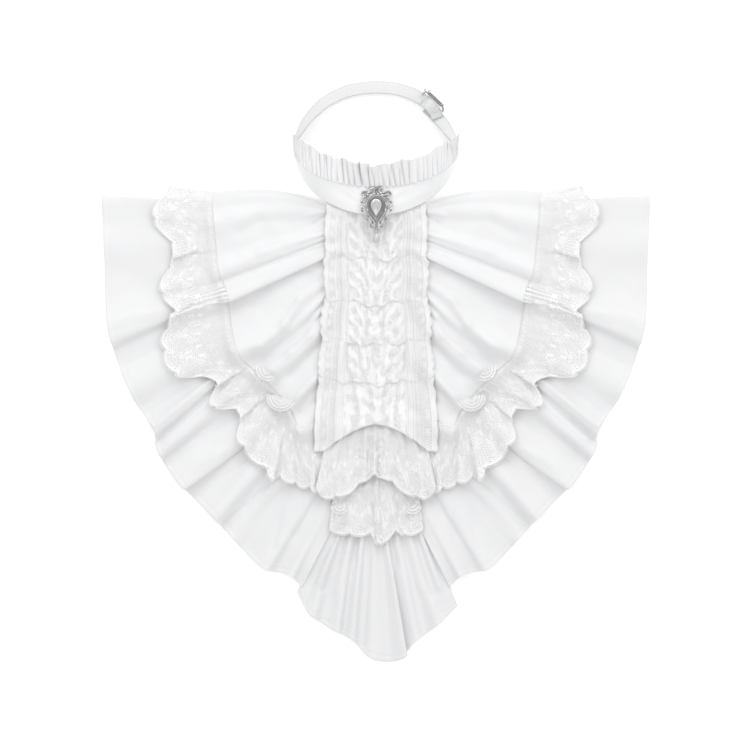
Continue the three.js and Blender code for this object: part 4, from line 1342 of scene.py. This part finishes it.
def teardrop(half_width, half_height, count):
    """The outline of the pearl's seat, point down."""
    turns = np.linspace(0, 2 * math.pi, count)
    across = half_width / 0.77 * np.sin(turns) * np.sin(turns / 2)
    return np.stack([across - 0.2, 0.6 - half_height * np.cos(turns)], -1)


WIRE_HEIGHT = 1.5


def ring(a, b, size, count):
    """A ring of wire on the brooch."""
    turns = np.linspace(0, 2 * math.pi, count)
    return on_brooch([(a + size * math.cos(t), b + size * math.sin(t), WIRE_HEIGHT) for t in turns])


SCROLL_WIRES = (  # flat points on the brooch (right, up), radius
    ([(-6.4, 11.4), (-5.6, 13.4), (-4.2, 15), (-2.7, 15.5), (-1.4, 14.4), (-1.5, 12.8),
      (-2.4, 11.2), (-4.2, 10.2)], 0.42),
    ([(-5.4, 12), (-4.2, 13), (-3.1, 14.2), (-3.6, 14.9)], 0.32),
    ([(4.6, 15.2), (3.1, 15.1), (1.9, 13.8), (2.3, 12.4), (3.8, 11.7), (4.9, 12)], 0.42),
    ([(2.3, 12.4), (3.4, 10.8), (5.2, 9.9)], 0.36),
    ([(4.2, 9.8), (6.1, 9.8), (7.8, 10.6), (9.7, 10.4), (10.7, 9.1), (9.9, 7.8), (8.6, 8)], 0.4),
    ([(-4.6, 9.9), (-6.4, 9.9), (-8, 10.6), (-9.7, 10.6), (-10.6, 9.4), (-9.7, 8.3), (-8.5, 8.7)],
     0.4),
    ([(-1.5, 10.9), (-0.6, 11.3), (0.1, 12.4), (0.8, 11.3), (1.7, 10.7)], 0.4),
    ([(0.1, 9.3), (2.9, 8.3), (5.4, 6.5), (7, 4.2), (7.4, 1.6), (6.6, -1.6)], 0.4),
    ([(1.2, 10.3), (4, 9), (6.6, 7.2), (8.2, 5), (8.6, 2.6)], 0.32),
    ([(-0.3, 9.3), (-3.2, 8.6), (-5.8, 6.8), (-7.2, 4.4), (-7.4, 1.6), (-6.6, -1.6)], 0.4),
    ([(-1.4, 10.3), (-4.4, 9.2), (-7, 7.4), (-8.4, 5), (-8.8, 2.6)], 0.32),
    ([(-7.2, -1), (-6.4, -4), (-4.9, -6.6), (-2.6, -9.4), (-1.4, -11.6)], 0.38),
    ([(7.2, -1), (6.2, -4), (4.6, -6.6), (2.6, -9.4), (1.4, -11.6)], 0.38),
    ([(-9.6, -3.9), (-7.8, -6), (-6, -8.8), (-4, -11.4), (-2.7, -13.8)], 0.34),
    ([(9, -4.2), (7, -6.3), (5.6, -8.8), (4.4, -11), (3.6, -13)], 0.34),
    ([(0, -8), (0.5, -10), (-0.6, -12.4)], 0.32),
)
LEAVES = (  # root, tip, how it bows
    ((-7.6, 2.4), (-8.6, 6.4), 0.8), ((-7.8, 1.6), (-10.2, 5.6), 0.8),
    ((-8, 0.4), (-11.8, 3.8), 0.9), ((-8, -0.8), (-12, 1.2), 0.8),
    ((-7.6, -2), (-11.6, -1.2), 0.7), ((-7.2, -3), (-10.8, -3.6), 0.6),
    ((7.6, 2.4), (9, 6.2), -0.8), ((7.8, 1.4), (10.6, 5.2), -0.8),
    ((8, 0.2), (11.8, 3.2), -0.9), ((8, -1), (12.1, 0.4), -0.8),
    ((7.6, -2.2), (11.4, -2.6), -0.7), ((7, -3.4), (10, -5), -0.6),
    ((-1.2, -11.6), (-3.6, -14.6), 0.6), ((-0.4, -12), (-1.6, -15.2), 0.4),
    ((0.6, -12), (1.8, -15.2), -0.4), ((1.4, -11.4), (4, -13.6), -0.6),
)
filigree = []
for points, radius in SCROLL_WIRES:
    flat = curved([(a, b, 1.35) for a, b in points])
    filigree.append((on_brooch(flat), radius))
    for a, b, _ in (flat[0], flat[-1]):
        filigree.append((ring(a, b, 0.3, 7), radius))
for root, tip, bow in LEAVES:
    for swing in (-1, 1):
        middle = ((root[0] + tip[0]) / 2 + 0.45 * swing, (root[1] + tip[1]) / 2 + bow * 0.6)
        blade = curved([(*root, 1.1), (*middle, 1.6), (*tip, 1.1)])
        filigree.append((on_brooch(blade), 0.3))
for a, b, size in ((-4.6, -8.6, 1.1), (4.4, -8.2, 0.9), (1.8, -14.2, 0.9), (-9.9, 9.4, 0.5)):
    filigree.append((ring(a, b, size, 13), 0.38))
for a, b in teardrop(6.9, 9.1, 45):
    filigree.append((ring(a, b, 0.2, 6), 0.34))
bundle("brooch_filigree", filigree, silver, rings=1)
bezel = [
    (on_brooch([(a, b, out) for a, b in teardrop(width, height, 41)]), radius)
    for width, height, out, radius in ((5.3, 7.5, 2.7, 0.34), (6.1, 8.3, 2.5, 0.3))
]
bundle("brooch_bezel_wires", bezel, blackened, rings=1)


# ---- pearls -------------------------------------------------------------------------------------
# Imitation pearls with a glossy nacre coat. A flattened drop is set in the brooch's bezel, and a
# small one hangs from the link and swings with it.
def pearl_surface(shade):
    nacre = shade.noise(260.0, shade.place())
    return {
        # The grey of the body is painted shade and reflection: a white pearl looks grey from the
        # darker surroundings it mirrors. The nacre noise varies it at random.
        "Base Color": nacre.tint((0.46, 0.457, 0.455), (0.64, 0.635, 0.63)),
        "Metallic": 0.35,
        "Roughness": nacre * 0.1 + 0.16,
        "Coat Weight": 1.0,
        "Coat Roughness": 0.04,
        "Coat IOR": 1.7,
    }


pearl = finish("imitation pearl", pearl_surface)
for node, body in (("brooch_pearl", "jabot"), ("drop_pearl", "drop")):
    shape = bmesh.new()
    shape.from_mesh(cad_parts[node].data)
    bmesh.ops.remove_doubles(shape, verts=shape.verts, dist=1e-6)
    mesh = bpy.data.meshes.new(f"{node}_polished")
    shape.to_mesh(mesh)
    shape.free()
    mesh.shade_smooth()
    mesh.materials.clear()
    mesh.materials.append(pearl)
    piece = bpy.data.objects.new(f"{node}_polished", mesh)
    bpy.context.scene.collection.objects.link(piece)
    smooth = piece.modifiers.new("polish", "SUBSURF")
    smooth.levels = smooth.render_levels = 2
    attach(piece, body)
    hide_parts(node)
